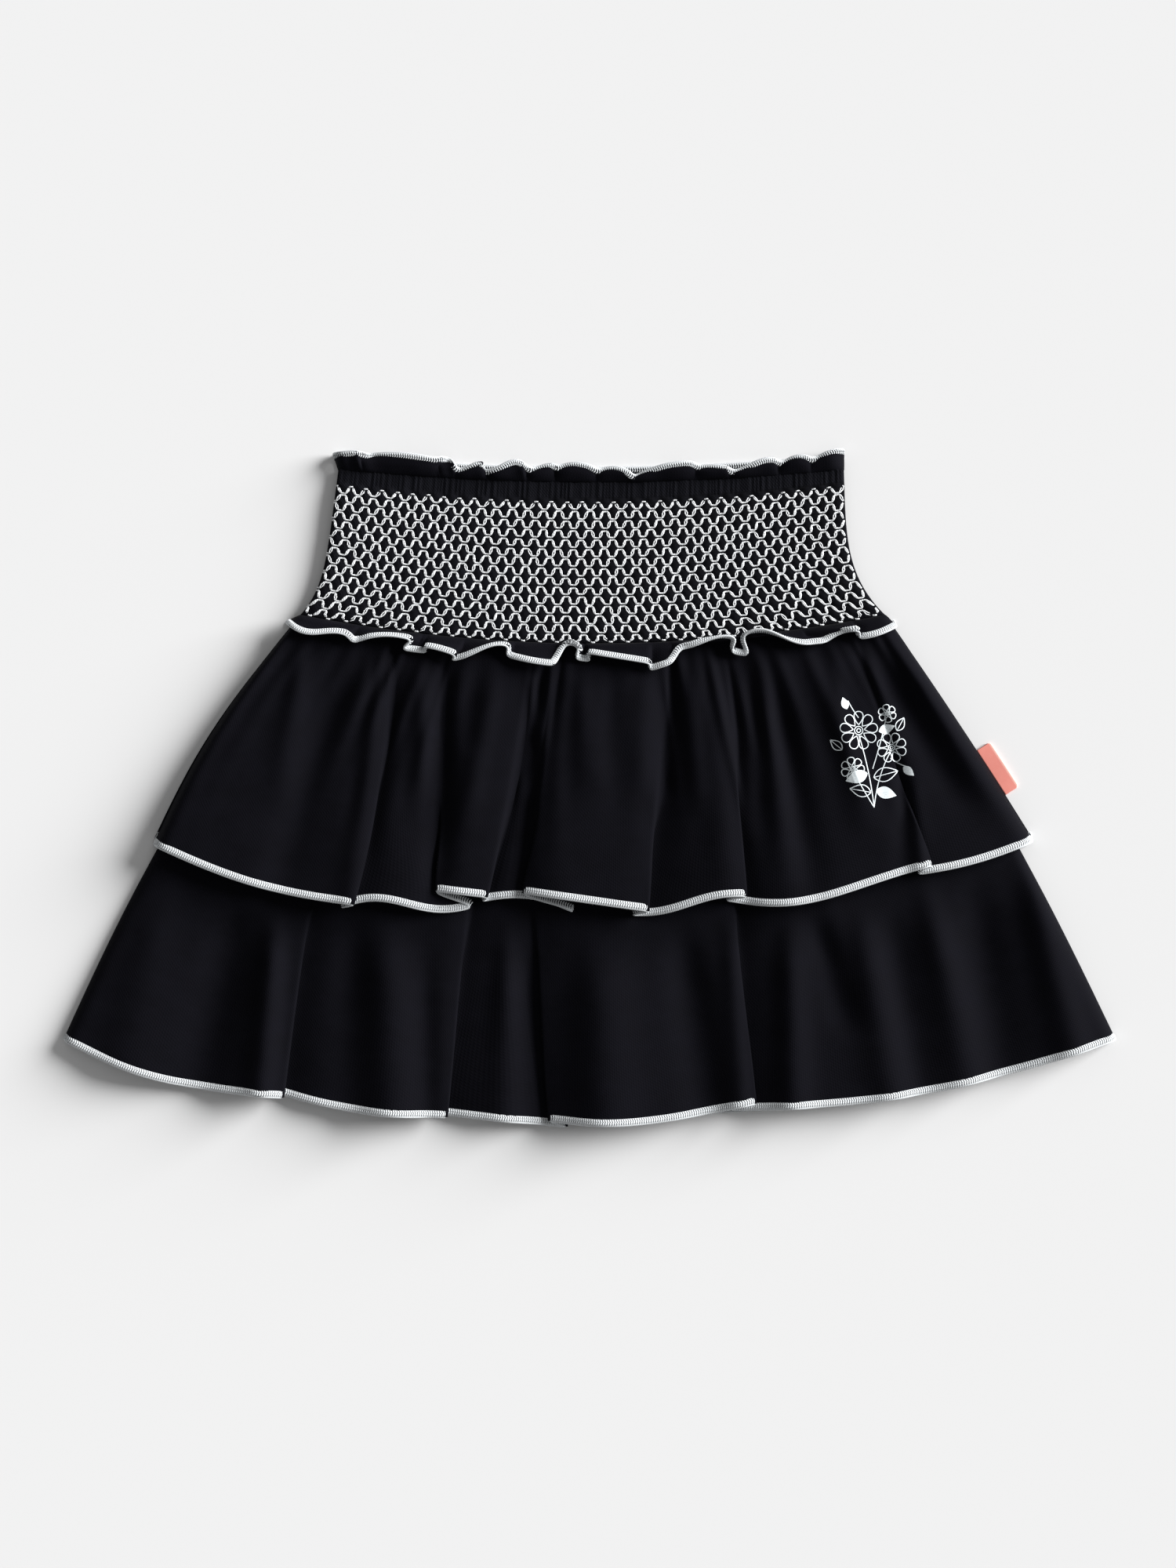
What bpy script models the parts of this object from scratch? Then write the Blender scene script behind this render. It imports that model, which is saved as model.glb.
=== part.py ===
"""Tiered skirt of black jersey, laid flat on its back, modelled in metres with +Z up.

The waist is a honeycomb-smocked band with a frill above and below it. Two gathered tiers
hang from its lower seam, the short one over the long one. X runs across the skirt, Y from
the hem up to the waist, and Z from the surface it lies on towards the viewer. In the tables
a position is given in millimetres as x, from the centre line, and down, from the top edge.
"""
import math
from collections import namedtuple

import bmesh
import bpy

MM = 0.001
COLLECTION = "Tiered Skirt"

# Overall sizes in millimetres
MIDDLE_DOWN = 161.0
MIDDLE_ACROSS = 0.75
CLOTH = 1.0
SEAM_GAP = 0.3
LAYER = CLOTH + SEAM_GAP
BAND_BACK = 3.0
BAND_FRONT = 2.2
SMOCK_PUFF = 1.1
CASING_PUFF = 0.7

# Smocking: cells across the front, zigzag rows down it
SMOCK_CELLS = 33
SMOCK_ROWS = 15
CASING_ROWS = (0.0, 0.25, 0.8)
BAND_PLAIN_ROWS = (0, 3, 8, 13, 18)

# Level lines of the waist, as down at the side seams and at the centre
Line = namedtuple("Line", "side centre")
FRILL_PINCH = Line(10.5, 16.5)
SMOCK_TOP = Line(18.0, 26.0)
WAIST_SEAM = Line(79.5, 93.0)

# Half the outline: x at the top, x at the bottom, and how far it bows out on the way
Side = namedtuple("Side", "top_x bottom_x bow")
TIER_1_LEFT = Side(-135.5, -204.5, 0.09)
TIER_1_RIGHT = Side(140.0, 209.5, 0.02)
TIER_2_LEFT = Side(-131.0, -247.0, 0.07)
TIER_2_RIGHT = Side(135.5, 248.5, 0.05)
LOW_FRILL_LEFT = Side(-135.5, -142.0, 0.0)
LOW_FRILL_RIGHT = Side(140.0, 145.0, 0.0)
HEAD_FRILL_LEFT = Side(-117.5, -120.0, 0.0)
HEAD_FRILL_RIGHT = Side(120.5, 120.5, 0.0)

# Band outline: x at the frill pinch and at the seam, share of the flare that is even, power
# of the rest, which opens just above the tiers
BandSide = namedtuple("BandSide", "top_x bottom_x even power")
BAND_LEFT = BandSide(-117.5, -135.5, 0.5, 6)
BAND_RIGHT = BandSide(120.5, 140.0, 0.1, 4)
SEAM_ENDS = (BAND_LEFT.bottom_x, BAND_RIGHT.bottom_x)

# A fold of a tier. The edge is what shows, facing right or left, and under is where the
# cloth turns back beneath it. The panel before the fold has its hem bowed by sag and swing.
# The fold climbs to top_x at the seam along v ** bend, doubled over reach of the way.
Fold = namedtuple("Fold", "facing edge_x edge_down under_x under_down sag swing top_x bend reach lift")
TIER_1_FOLDS = (
    Fold("right", -109.0, 215.5, -116.0, 217.0, 5.0, 0.0, -93.5, 1.6, 0.75, 5.5),
    Fold("left", -72.0, 209.0, -54.5, 217.0, -1.0, -3.0, -66.5, 1.0, 0.40, 6.8),
    Fold("right", -47.0, 212.0, -49.5, 214.0, 0.0, 0.0, -28.0, 1.0, 0.50, 6.0),
    Fold("left", -31.0, 210.0, -6.0, 219.5, -4.5, 0.0, -12.0, 1.0, 0.40, 6.8),
    Fold("right", 28.5, 218.5, 20.5, 220.5, 0.0, 0.0, 28.0, 1.0, 0.60, 6.0),
    Fold("right", 74.5, 211.5, 64.5, 213.5, 0.0, 1.8, 61.0, 0.5, 0.70, 6.0),
    Fold("right", 161.5, 197.0, 154.0, 201.5, 7.0, 1.8, 122.0, 1.0, 0.75, 6.0),
)
TIER_2_FOLDS = (
    Fold("right", -142.5, 306.5, -150.0, 303.5, 7.0, 0.7, -94.0, 1.0, 0.55, 6.0),
    Fold("right", -66.0, 315.5, -73.5, 314.0, 3.7, 0.0, -42.0, 1.0, 0.55, 5.5),
    Fold("left", -9.5, 317.5, -2.0, 320.5, 0.0, 0.0, -26.0, 1.0, 0.50, 5.0),
    Fold("right", 79.0, 309.0, 66.5, 312.5, 4.8, 0.4, 58.0, 1.0, 0.55, 7.0),
)

# A wave of a frill, with the same columns as a fold's hem. Waves run straight to the root.
Wave = namedtuple("Wave", "facing edge_x edge_down under_x under_down sag swing")
LOW_FRILL_WAVES = (
    Wave("right", -113.0, 89.0, -110.5, 93.0, 3.0, 1.8),
    Wave("right", -82.5, 91.5, -87.5, 96.0, -3.0, 0.0),
    Wave("left", -78.0, 94.5, -75.0, 97.5, 0.0, 0.0),
    Wave("right", -61.5, 99.0, -64.5, 101.0, -0.8, 0.0),
    Wave("right", -37.0, 94.5, -38.5, 99.0, -1.5, 1.8),
    Wave("right", -15.5, 103.5, -11.5, 94.5, 4.5, 0.0),
    Wave("right", -4.0, 95.5, -6.0, 100.5, -2.5, 0.0),
    Wave("left", -1.0, 97.5, 1.5, 101.5, 0.0, 0.0),
    Wave("right", 29.5, 102.5, 28.5, 106.0, 0.0, 0.0),
    Wave("right", 39.5, 102.5, 43.0, 95.5, 0.0, 0.0),
    Wave("right", 69.5, 90.5, 67.0, 97.5, -1.5, 1.5),
    Wave("left", 72.5, 89.5, 75.5, 99.0, 0.0, 0.0),
    Wave("right", 103.5, 93.5, 111.5, 92.5, -3.3, -2.6),
    Wave("right", 128.0, 87.5, 126.5, 91.0, -2.6, 0.0),
)
HEAD_FRILL_WAVES = (
    Wave("right", -108.5, 2.5, -104.5, 4.0, 0.0, 0.0),
    Wave("right", -72.0, 6.0, -68.0, 5.0, -1.5, 0.0),
    Wave("right", -64.0, 6.5, -62.0, 10.5, 0.0, 0.0),
    Wave("right", -49.5, 7.5, -50.5, 10.5, 1.0, 2.2),
    Wave("right", -30.5, 8.0, -27.0, 11.0, 0.0, 3.3),
    Wave("right", -17.0, 8.0, -14.5, 10.0, 0.0, 0.0),
    Wave("right", 2.5, 10.0, 5.0, 11.5, -2.6, 0.0),
    Wave("right", 19.5, 12.0, 21.5, 14.5, -2.6, 0.0),
    Wave("right", 49.5, 7.5, 51.5, 9.5, -2.2, 0.0),
    Wave("right", 66.0, 10.0, 68.0, 12.0, -0.7, 0.0),
    Wave("right", 88.5, 6.5, 91.5, 8.0, -1.8, 1.5),
    Wave("right", 104.0, 5.5, 106.5, 6.0, -3.0, 0.0),
)


def blend(start, end, share):
    return start + (end - start) * share


def frill_folds(waves, left, right, lift):
    """A frill's waves as folds, their tops spread evenly over its shorter root."""
    folds = []
    for wave in waves:
        share = (wave.edge_x - left.bottom_x) / (right.bottom_x - left.bottom_x)
        top_x = blend(left.top_x, right.top_x, share)
        folds.append(Fold(*wave, top_x, FRILL_BEND, FRILL_REACH, lift))
    return folds


# Sections of each wall, from its seam at 0 to its free edge at 1
TIER_1_ROWS = (0, 0.05, 0.1, 0.17, 0.27, 0.4, 0.55, 0.7, 0.85, 1)
TIER_2_ROWS = (0, 0.055, 0.11, 0.25, 0.4, 0.55, 0.62, 0.75, 0.88, 1)
FRILL_ROWS = (0, 0.35, 0.7, 1)

# Stations across a wall: along a side panel, a panel between folds, a wave, and a turn
SIDE_SPAN = (0, 0.012, 0.05, 0.12, 0.22, 0.4, 0.6, 0.8, 0.94, 1)
PANEL_SPAN = (0, 0.06, 0.2, 0.4, 0.6, 0.8, 0.94, 1)
WAVE_SPAN = (0, 0.25, 0.5, 0.75, 1)
TURN_STEPS = (0.2, 0.5, 0.8)
BACK_COLUMNS = 24

# Form of the turns: share of a fold's lift spent on each curl, share of a panel it takes,
# and half the width of a fold that is no longer doubled
CURL = 0.18
CURL_SPAN = 0.2
TIER_TURN = 2.0
FRILL_TURN = 0.8
FRILL_REACH = 0.5
FRILL_BEND = 1.0

# Gathers just below the seam: stations in one, depth, and where from seam to hem it peaks
GATHER_STATIONS = 4
GATHER_DEPTH = 0.7
GATHER_PEAK = 0.09

# Reach of the rounding at the side seams, and its share at a tier's narrow top
TIER_SIDE_ROUND = 14.0
TIER_TOP_ROUND_SHARE = 0.4
BAND_SIDE_ROUND = 7.0

# Heights of the layers where they are stacked. Each Step is a height at a place from seam
# to hem: of the underside on a back wall, and of the middle of the wall on a front one.
Step = namedtuple("Step", "v z")
FLOOR = 0.0
HOLLOW = 0.5
TIER_1_BACK_STEPS = (Step(0, LAYER), Step(0.1, LAYER), Step(0.17, FLOOR), Step(0.6, FLOOR), Step(1, FLOOR))
TIER_2_BACK_STEPS = (
    Step(0, 2 * LAYER),
    Step(0.055, 2 * LAYER),
    Step(0.11, LAYER),
    Step(0.3, LAYER),
    Step(0.545, LAYER),
    Step(0.6, FLOOR),
    Step(0.8, FLOOR),
    Step(1, FLOOR),
)
TIER_2_FRONT_STEPS = (
    Step(0, 3 * LAYER + CLOTH / 2),
    Step(0.06, 3 * LAYER + CLOTH / 2),
    Step(0.13, 2 * LAYER + CLOTH / 2 + HOLLOW),
    Step(0.55, 2 * LAYER + CLOTH / 2 + HOLLOW),
    Step(0.68, LAYER + CLOTH / 2),
    Step(1, LAYER + CLOTH / 2),
)
TIER_1_FRONT_STEPS = (Step(0, 4 * LAYER + CLOTH / 2), Step(0.1, 4 * LAYER + CLOTH), Step(1, 8.4))
FRILL_BACK_STEPS = (Step(0, FLOOR), Step(1, FLOOR))
LOW_FRILL_STEPS = (Step(0, 5 * LAYER + CLOTH / 2), Step(0.35, 7.7), Step(1, 9.0))
HEAD_FRILL_STEPS = (Step(0, 4.6), Step(0.35, 4.3), Step(1, 2.4))

# Each tier or frill: its outline, the down of its lower corners, the bow of its last panel,
# the curved line of its plain back edge and the power of that curve. Lift grows from root
# to edge as v ** lift_power. Its root lies gap below the line it is sewn to.
Flounce = namedtuple(
    "Flounce",
    "name folds left right corners last_sag back_edge back_power rows spans turn lift_power gathered "
    "root ends gap front_steps back_steps",
)
Spans = namedtuple("Spans", "side panel")
SHORT_TIER = Flounce(
    name="tier_1",
    folds=TIER_1_FOLDS,
    left=TIER_1_LEFT,
    right=TIER_1_RIGHT,
    corners=(187.5, 186.0),
    last_sag=2.2,
    back_edge=Line(184.5, 210.0),
    back_power=2.4,
    rows=TIER_1_ROWS,
    spans=Spans(SIDE_SPAN, PANEL_SPAN),
    turn=TIER_TURN,
    lift_power=1.0,
    gathered=True,
    root=WAIST_SEAM,
    ends=SEAM_ENDS,
    gap=SEAM_GAP,
    front_steps=TIER_1_FRONT_STEPS,
    back_steps=TIER_1_BACK_STEPS,
)
LONG_TIER = SHORT_TIER._replace(
    name="tier_2",
    folds=TIER_2_FOLDS,
    left=TIER_2_LEFT,
    right=TIER_2_RIGHT,
    corners=(279.5, 279.5),
    last_sag=8.5,
    back_edge=Line(279.5, 315.0),
    rows=TIER_2_ROWS,
    lift_power=1.2,
    gathered=False,
    front_steps=TIER_2_FRONT_STEPS,
    back_steps=TIER_2_BACK_STEPS,
)
LOWER_FRILL = SHORT_TIER._replace(
    name="lower_frill",
    folds=frill_folds(LOW_FRILL_WAVES, LOW_FRILL_LEFT, LOW_FRILL_RIGHT, 4.6),
    left=LOW_FRILL_LEFT,
    right=LOW_FRILL_RIGHT,
    corners=(83.0, 85.0),
    last_sag=1.5,
    back_edge=Line(84.0, 101.0),
    back_power=2.0,
    rows=FRILL_ROWS,
    spans=Spans(WAVE_SPAN, WAVE_SPAN),
    turn=FRILL_TURN,
    gathered=False,
    front_steps=LOW_FRILL_STEPS,
    back_steps=FRILL_BACK_STEPS,
)
HEADING_FRILL = LOWER_FRILL._replace(
    name="heading_frill",
    folds=frill_folds(HEAD_FRILL_WAVES, HEAD_FRILL_LEFT, HEAD_FRILL_RIGHT, 4.6),
    left=HEAD_FRILL_LEFT,
    right=HEAD_FRILL_RIGHT,
    corners=(3.5, 1.5),
    last_sag=-1.5,
    back_edge=Line(4.0, 10.0),
    root=FRILL_PINCH,
    ends=(BAND_LEFT.top_x, BAND_RIGHT.top_x),
    gap=-SEAM_GAP,
    front_steps=HEAD_FRILL_STEPS,
)
# Side label: a folded ribbon caught in the right seam of the short tier
LABEL_LENGTH = 25.0
LABEL_REACH = 7.0
LABEL_CORNER = 1.6
LABEL_ALONG_SEAM = 0.7
LABEL_THICK = 1.0
LABEL_CLEAR = 0.5
LABEL_TURN = -57.0

# Looks: linear colours and roughness
JERSEY_COLOUR = (0.012, 0.012, 0.015)
SMOCKING_COLOUR = (0.16, 0.165, 0.175)
RIBBON_COLOUR = (0.83, 0.26, 0.22)
JERSEY_ROUGHNESS = 0.85
RIBBON_ROUGHNESS = 0.6


def clear_scene():
    """Removes whatever the file opened with."""
    for item in list(bpy.data.objects):
        bpy.data.objects.remove(item, do_unlink=True)


def smooth(share):
    share = min(max(share, 0.0), 1.0)
    return share * share * (3 - 2 * share)


def step_height(steps, v):
    """Height at v, read along a table of steps."""
    for low, high in zip(steps, steps[1:]):
        if v <= high.v:
            return blend(low.z, high.z, smooth((v - low.v) / (high.v - low.v)))
    return steps[-1].z


def line_down(line, x, left, right, power=2.0):
    """Down of a curved line that hangs lowest at the centre."""
    half = (right - left) / 2
    offset = abs(x - (left + right) / 2) / half
    return blend(line.centre, line.side, min(offset, 1.0) ** power)


def side_x(side, v):
    """x of the outline at v, which bows outwards between its ends."""
    return blend(side.top_x, side.bottom_x, v + side.bow * math.sin(math.pi * v))


def metres(x, down, z):
    """A table position as a point of the model."""
    return ((x - MIDDLE_ACROSS) * MM, (MIDDLE_DOWN - down) * MM, z * MM)


def round_side(x, left, right, reach):
    """0 at a side edge, rising as a quarter round to 1 at reach inside it."""
    inside = min(max(min(x - left, right - x) / reach, 0.0), 1.0)
    return math.sqrt(1 - (1 - inside) ** 2)


def turned(share, doubled):
    """A share of the way that slows down at both ends where the cloth doubles back."""
    return blend(share, (1 - math.cos(math.pi * share)) / 2, doubled)


def fold_turns(flounce, v):
    """x, down and doubling of each fold's two turns in row v, in their order along the cloth."""
    turns = []
    for fold in flounce.folds:
        line = blend(fold.top_x, fold.edge_x, v ** fold.bend)
        doubled = smooth((v - 1 + fold.reach) / fold.reach)
        edge = (fold.edge_x, fold.edge_down)
        under = (fold.under_x, fold.under_down)
        first, second = (edge, under) if fold.facing == "right" else (under, edge)
        first_x = line + blend(-flounce.turn, first[0] - fold.edge_x, doubled)
        second_x = line + blend(flounce.turn, second[0] - fold.edge_x, doubled)
        turns.append(((first_x, first[1]), (second_x, second[1]), doubled))
    return turns


def panel_stations(flounce, k, start, end, doubled):
    """Stations of panel k, which lies between two folds or a fold and a side seam."""
    before = flounce.folds[k - 1] if k else None
    after = flounce.folds[k] if k < len(flounce.folds) else None
    low = 1.0 if before and before.facing == "left" else 0.0
    high = 1.0 if after and after.facing == "right" else 0.0
    near_lift, far_lift = (before or after).lift, (after or before).lift
    sag, swing = (after.sag, after.swing) if after else (flounce.last_sag, 0.0)
    shares = flounce.spans.panel
    if not before:
        shares = flounce.spans.side
    if not after:
        shares = [1 - share for share in reversed(flounce.spans.side)]
    stations = []
    for s in shares:
        way = turned(s, doubled)
        level = blend(low, high, smooth(s))
        if before:
            level += (1 - 2 * low) * CURL * max(1 - s / CURL_SPAN, 0) ** 2
        if after:
            level += (1 - 2 * high) * CURL * max(1 - (1 - s) / CURL_SPAN, 0) ** 2
        down = blend(start[1], end[1], way)
        down += sag * math.sin(math.pi * way) + swing * math.sin(2 * math.pi * way)
        stations.append((blend(start[0], end[0], way), down, level, blend(near_lift, far_lift, s)))
    return stations


def turn_stations(fold, first, second, doubled):
    """Stations of the cloth between a fold's two turns, falling or climbing."""
    stations = []
    for t in TURN_STEPS:
        climb = (0.5 - CURL) * (2 * t - 1) ** 3
        level = 0.5 - climb if fold.facing == "right" else 0.5 + climb
        x = blend(first[0], second[0], turned(t, doubled))
        stations.append((x, blend(first[1], second[1], t), level, fold.lift))
    return stations


def folded_row(flounce, v):
    """One row of a folded wall: x, down at the free edge, level from 0 to 1, and lift."""
    turns = fold_turns(flounce, v)
    left_end = (side_x(flounce.left, v), flounce.corners[0])
    right_end = (side_x(flounce.right, v), flounce.corners[1])
    starts = [left_end] + [second for _, second, _ in turns]
    ends = [first for first, _, _ in turns] + [right_end]
    doubling = [0.0] + [doubled for _, _, doubled in turns] + [0.0]
    stations = []
    for k in range(len(starts)):
        mean = (doubling[k] + doubling[k + 1]) / 2
        stations += panel_stations(flounce, k, starts[k], ends[k], mean)
        if k < len(turns):
            stations += turn_stations(flounce.folds[k], *turns[k])
    return stations


def front_grid(flounce, edge_gap, round_reach):
    """Front of a tier or frill: folded at its free edge, rounded down at the sides.

    The side edges of the wall's middle stay edge_gap above the underside of the back.
    """
    seam_x = [station[0] for station in folded_row(flounce, 0.0)]
    grid = []
    for v in flounce.rows:
        base = step_height(flounce.front_steps, v)
        floor = step_height(flounce.back_steps, v) + edge_gap
        left, right = side_x(flounce.left, v), side_x(flounce.right, v)
        reach = round_reach * blend(TIER_TOP_ROUND_SHARE, 1.0, v)
        points = []
        for i, (x, edge_down, level, lift) in enumerate(folded_row(flounce, v)):
            root_down = line_down(flounce.root, seam_x[i], *flounce.ends) + flounce.gap
            z = base + lift * v ** flounce.lift_power * level
            if flounce.gathered:
                fade = v / GATHER_PEAK * math.exp(1 - v / GATHER_PEAK)
                z += GATHER_DEPTH * fade * (1 + math.cos(2 * math.pi * i / GATHER_STATIONS)) / 2
            z = floor + (z - floor) * round_side(x, left, right, reach)
            points.append(metres(x, blend(root_down, edge_down, v), z))
        grid.append(points)
    return grid


def back_grid(flounce):
    """Back of a tier or frill: flat but for the layers that it steps over."""
    grid = []
    for step in flounce.back_steps:
        left, right = side_x(flounce.left, step.v), side_x(flounce.right, step.v)
        points = []
        for i in range(BACK_COLUMNS + 1):
            share = i / BACK_COLUMNS
            top_x = blend(flounce.left.top_x, flounce.right.top_x, share)
            edge_x = blend(flounce.left.bottom_x, flounce.right.bottom_x, share)
            root_down = line_down(flounce.root, top_x, *flounce.ends) + flounce.gap
            edge_down = line_down(
                flounce.back_edge, edge_x, flounce.left.bottom_x, flounce.right.bottom_x, flounce.back_power
            )
            points.append(metres(blend(left, right, share), blend(root_down, edge_down, step.v), step.z))
        grid.append(points)
    return grid


def band_side_x(side, v):
    """x of the band's outline, which flares more and more towards the seam."""
    flare = side.even * v + (1 - side.even) * v ** side.power
    return blend(side.top_x, side.bottom_x, flare)


def band_rows():
    """Rows of the band: the curved line, and the smocking row or None in the casing."""
    rows = [(blend_lines(FRILL_PINCH, SMOCK_TOP, share), None) for share in CASING_ROWS]
    for j in range(SMOCK_ROWS + 1):
        rows.append((blend_lines(SMOCK_TOP, WAIST_SEAM, j / SMOCK_ROWS), j))
    return rows


def blend_lines(above, below, share):
    return Line(blend(above.side, below.side, share), blend(above.centre, below.centre, share))


def band_places(line, columns):
    """x, down and side rounding of each column along one line of the band."""
    v = (line.side - FRILL_PINCH.side) / (WAIST_SEAM.side - FRILL_PINCH.side)
    left, right = band_side_x(BAND_LEFT, v), band_side_x(BAND_RIGHT, v)
    places = []
    for i in range(columns + 1):
        x = blend(left, right, i / columns)
        places.append((x, line_down(line, x, left, right), round_side(x, left, right, BAND_SIDE_ROUND)))
    return places


def smocked_grids():
    """Outer and inner grids of the front band, and which outer points are stitched down.

    The outer points are stitched and puffed in turn, in a brick pattern over the smocking
    and in upright gathers over the casing.
    """
    outer, inner, stitched = [], [], []
    inner_z = BAND_BACK + SEAM_GAP
    for row, (line, smock_row) in enumerate(band_rows()):
        casing = smock_row is None
        shift = 0 if casing else smock_row
        at_edge = row == 0 or smock_row in (0, SMOCK_ROWS)
        puff = 0.0 if at_edge else CASING_PUFF if casing else SMOCK_PUFF
        outer.append([])
        inner.append([])
        stitched.append([])
        for i, (x, down, rounded) in enumerate(band_places(line, 2 * SMOCK_CELLS)):
            low = (i + shift) % 2 == 0
            height = BAND_FRONT - CLOTH + (0 if low else puff)
            outer[-1].append(metres(x, down, inner_z + CLOTH + height * rounded))
            inner[-1].append(metres(x, down, inner_z + SEAM_GAP * rounded))
            stitched[-1].append(low)
    return outer, [inner[row] for row in BAND_PLAIN_ROWS], stitched


def band_back_grid():
    """Flat grid of the back band, which rests on the surface."""
    rows = band_rows()
    grid = []
    for row in BAND_PLAIN_ROWS:
        places = band_places(rows[row][0], BACK_COLUMNS)
        grid.append([metres(x, down, FLOOR) for x, down, _ in places])
    return grid


def cloth_material(name, colour, roughness):
    material = bpy.data.materials.new(name)
    material.use_nodes = True
    shader = material.node_tree.nodes["Principled BSDF"]
    shader.inputs["Base Color"].default_value = (*colour, 1)
    shader.inputs["Roughness"].default_value = roughness
    shader.inputs["Metallic"].default_value = 0.0
    return material


def add_piece(name, mesh, material, collection):
    mesh.materials.append(material)
    mesh.shade_smooth()
    piece = bpy.data.objects.new(name, mesh)
    collection.objects.link(piece)
    return piece


def cloth_wall(name, grid, thickness, offset, material, collection):
    """An open grid of cloth, its rows from the top down, thickened into a wall."""
    columns = len(grid[0])
    points = [point for row in grid for point in row]
    faces = []
    for j in range(len(grid) - 1):
        for i in range(columns - 1):
            corner = j * columns + i
            faces.append((corner, corner + columns, corner + columns + 1, corner + 1))
    mesh = bpy.data.meshes.new(name)
    mesh.from_pydata(points, [], faces)
    piece = add_piece(name, mesh, material, collection)
    wall = piece.modifiers.new("Cloth", "SOLIDIFY")
    wall.thickness = thickness * MM
    wall.offset = offset


def smocked_wall(name, outer, inner, stitched, material, collection):
    """A loft between the puffed outer face and the plain inner one.

    Each outer quad is split between its stitched corners, so every puff is a pyramid.
    """
    mesh = bpy.data.meshes.new(name)
    shape = bmesh.new()
    top = [[shape.verts.new(point) for point in row] for row in outer]
    under = [[shape.verts.new(point) for point in row] for row in inner]
    last = len(top[0]) - 1
    for j in range(len(top) - 1):
        for i in range(last):
            a, b, c, d = top[j][i], top[j + 1][i], top[j + 1][i + 1], top[j][i + 1]
            if stitched[j][i]:
                shape.faces.new((a, b, c))
                shape.faces.new((a, c, d))
            else:
                shape.faces.new((a, b, d))
                shape.faces.new((b, c, d))
    for j in range(len(under) - 1):
        for i in range(last):
            shape.faces.new((under[j][i], under[j][i + 1], under[j + 1][i + 1], under[j + 1][i]))
        between = range(BAND_PLAIN_ROWS[j + 1], BAND_PLAIN_ROWS[j] - 1, -1)
        shape.faces.new([under[j][0], under[j + 1][0]] + [top[k][0] for k in between])
        shape.faces.new([under[j + 1][last], under[j][last]] + [top[k][last] for k in reversed(between)])
    for i in range(last):
        shape.faces.new((under[0][i + 1], under[0][i], top[0][i], top[0][i + 1]))
        shape.faces.new((under[-1][i], under[-1][i + 1], top[-1][i + 1], top[-1][i]))
    shape.to_mesh(mesh)
    shape.free()
    add_piece(name, mesh, material, collection)


def side_label(material, collection):
    """Ribbon tab that lies on the surface beside the right seam of the short tier."""
    seam_x = side_x(TIER_1_RIGHT, LABEL_ALONG_SEAM)
    seam_down = blend(WAIST_SEAM.side, SHORT_TIER.corners[1], LABEL_ALONG_SEAM)
    away = SEAM_GAP + LABEL_CLEAR + LABEL_REACH / 2
    turn = math.radians(LABEL_TURN)
    bpy.ops.mesh.primitive_cube_add(size=1)
    label = bpy.context.active_object
    label.name = label.data.name = "side_label"
    for vertex in label.data.vertices:
        vertex.co.x *= LABEL_LENGTH * MM
        vertex.co.y *= LABEL_REACH * MM
        vertex.co.z *= LABEL_THICK * MM
    label.location = metres(
        seam_x - away * math.sin(turn), seam_down - away * math.cos(turn), LABEL_THICK / 2
    )
    label.rotation_euler.z = turn
    weights = label.data.attributes.new("bevel_weight_edge", "FLOAT", "EDGE")
    for edge in label.data.edges:
        ends = [label.data.vertices[index].co for index in edge.vertices]
        upright = ends[0].z * ends[1].z < 0
        outer = ends[0].y > 0 and ends[1].y > 0
        weights.data[edge.index].value = 1.0 if upright and outer else 0.0
    corners = label.modifiers.new("Round corners", "BEVEL")
    corners.limit_method = "WEIGHT"
    corners.width = LABEL_CORNER * MM
    corners.segments = 2
    label.data.materials.append(material)
    label.users_collection[0].objects.unlink(label)
    collection.objects.link(label)


def build_skirt():
    clear_scene()
    collection = bpy.data.collections.new(COLLECTION)
    bpy.context.scene.collection.children.link(collection)
    jersey = cloth_material("black_jersey", JERSEY_COLOUR, JERSEY_ROUGHNESS)
    smocking = cloth_material("smocked_jersey", SMOCKING_COLOUR, JERSEY_ROUGHNESS)
    ribbon = cloth_material("coral_ribbon", RIBBON_COLOUR, RIBBON_ROUGHNESS)

    for tier in (SHORT_TIER, LONG_TIER):
        grid = front_grid(tier, LAYER + CLOTH / 2, TIER_SIDE_ROUND)
        cloth_wall(tier.name + "_front", grid, CLOTH, 0, jersey, collection)
        cloth_wall(tier.name + "_back", back_grid(tier), CLOTH, 1, jersey, collection)
    smocked_wall("smocked_band_front", *smocked_grids(), smocking, collection)
    cloth_wall("smocked_band_back", band_back_grid(), BAND_BACK, 1, smocking, collection)
    grid = front_grid(LOWER_FRILL, 5 * LAYER, BAND_SIDE_ROUND)
    cloth_wall("lower_frill_front", grid, CLOTH, 0, jersey, collection)
    cloth_wall("lower_frill_back", back_grid(LOWER_FRILL), CLOTH, 1, jersey, collection)
    grid = front_grid(HEADING_FRILL, LAYER + CLOTH / 2, BAND_SIDE_ROUND)
    cloth_wall("heading_frill_front", grid, CLOTH, 0, jersey, collection)
    cloth_wall("heading_frill_back", back_grid(HEADING_FRILL)[::-1], CLOTH, 1, jersey, collection)
    side_label(ribbon, collection)


build_skirt()
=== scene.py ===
"""Looks of a child's tiered jersey skirt, laid flat on its back and seen from above.

Sections follow the skirt as it is sewn. Places are in millimetres until they go into a mesh:
x across from the centre line, down from the top edge, and z up from the surface below.
"""
import math
from collections import namedtuple

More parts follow.
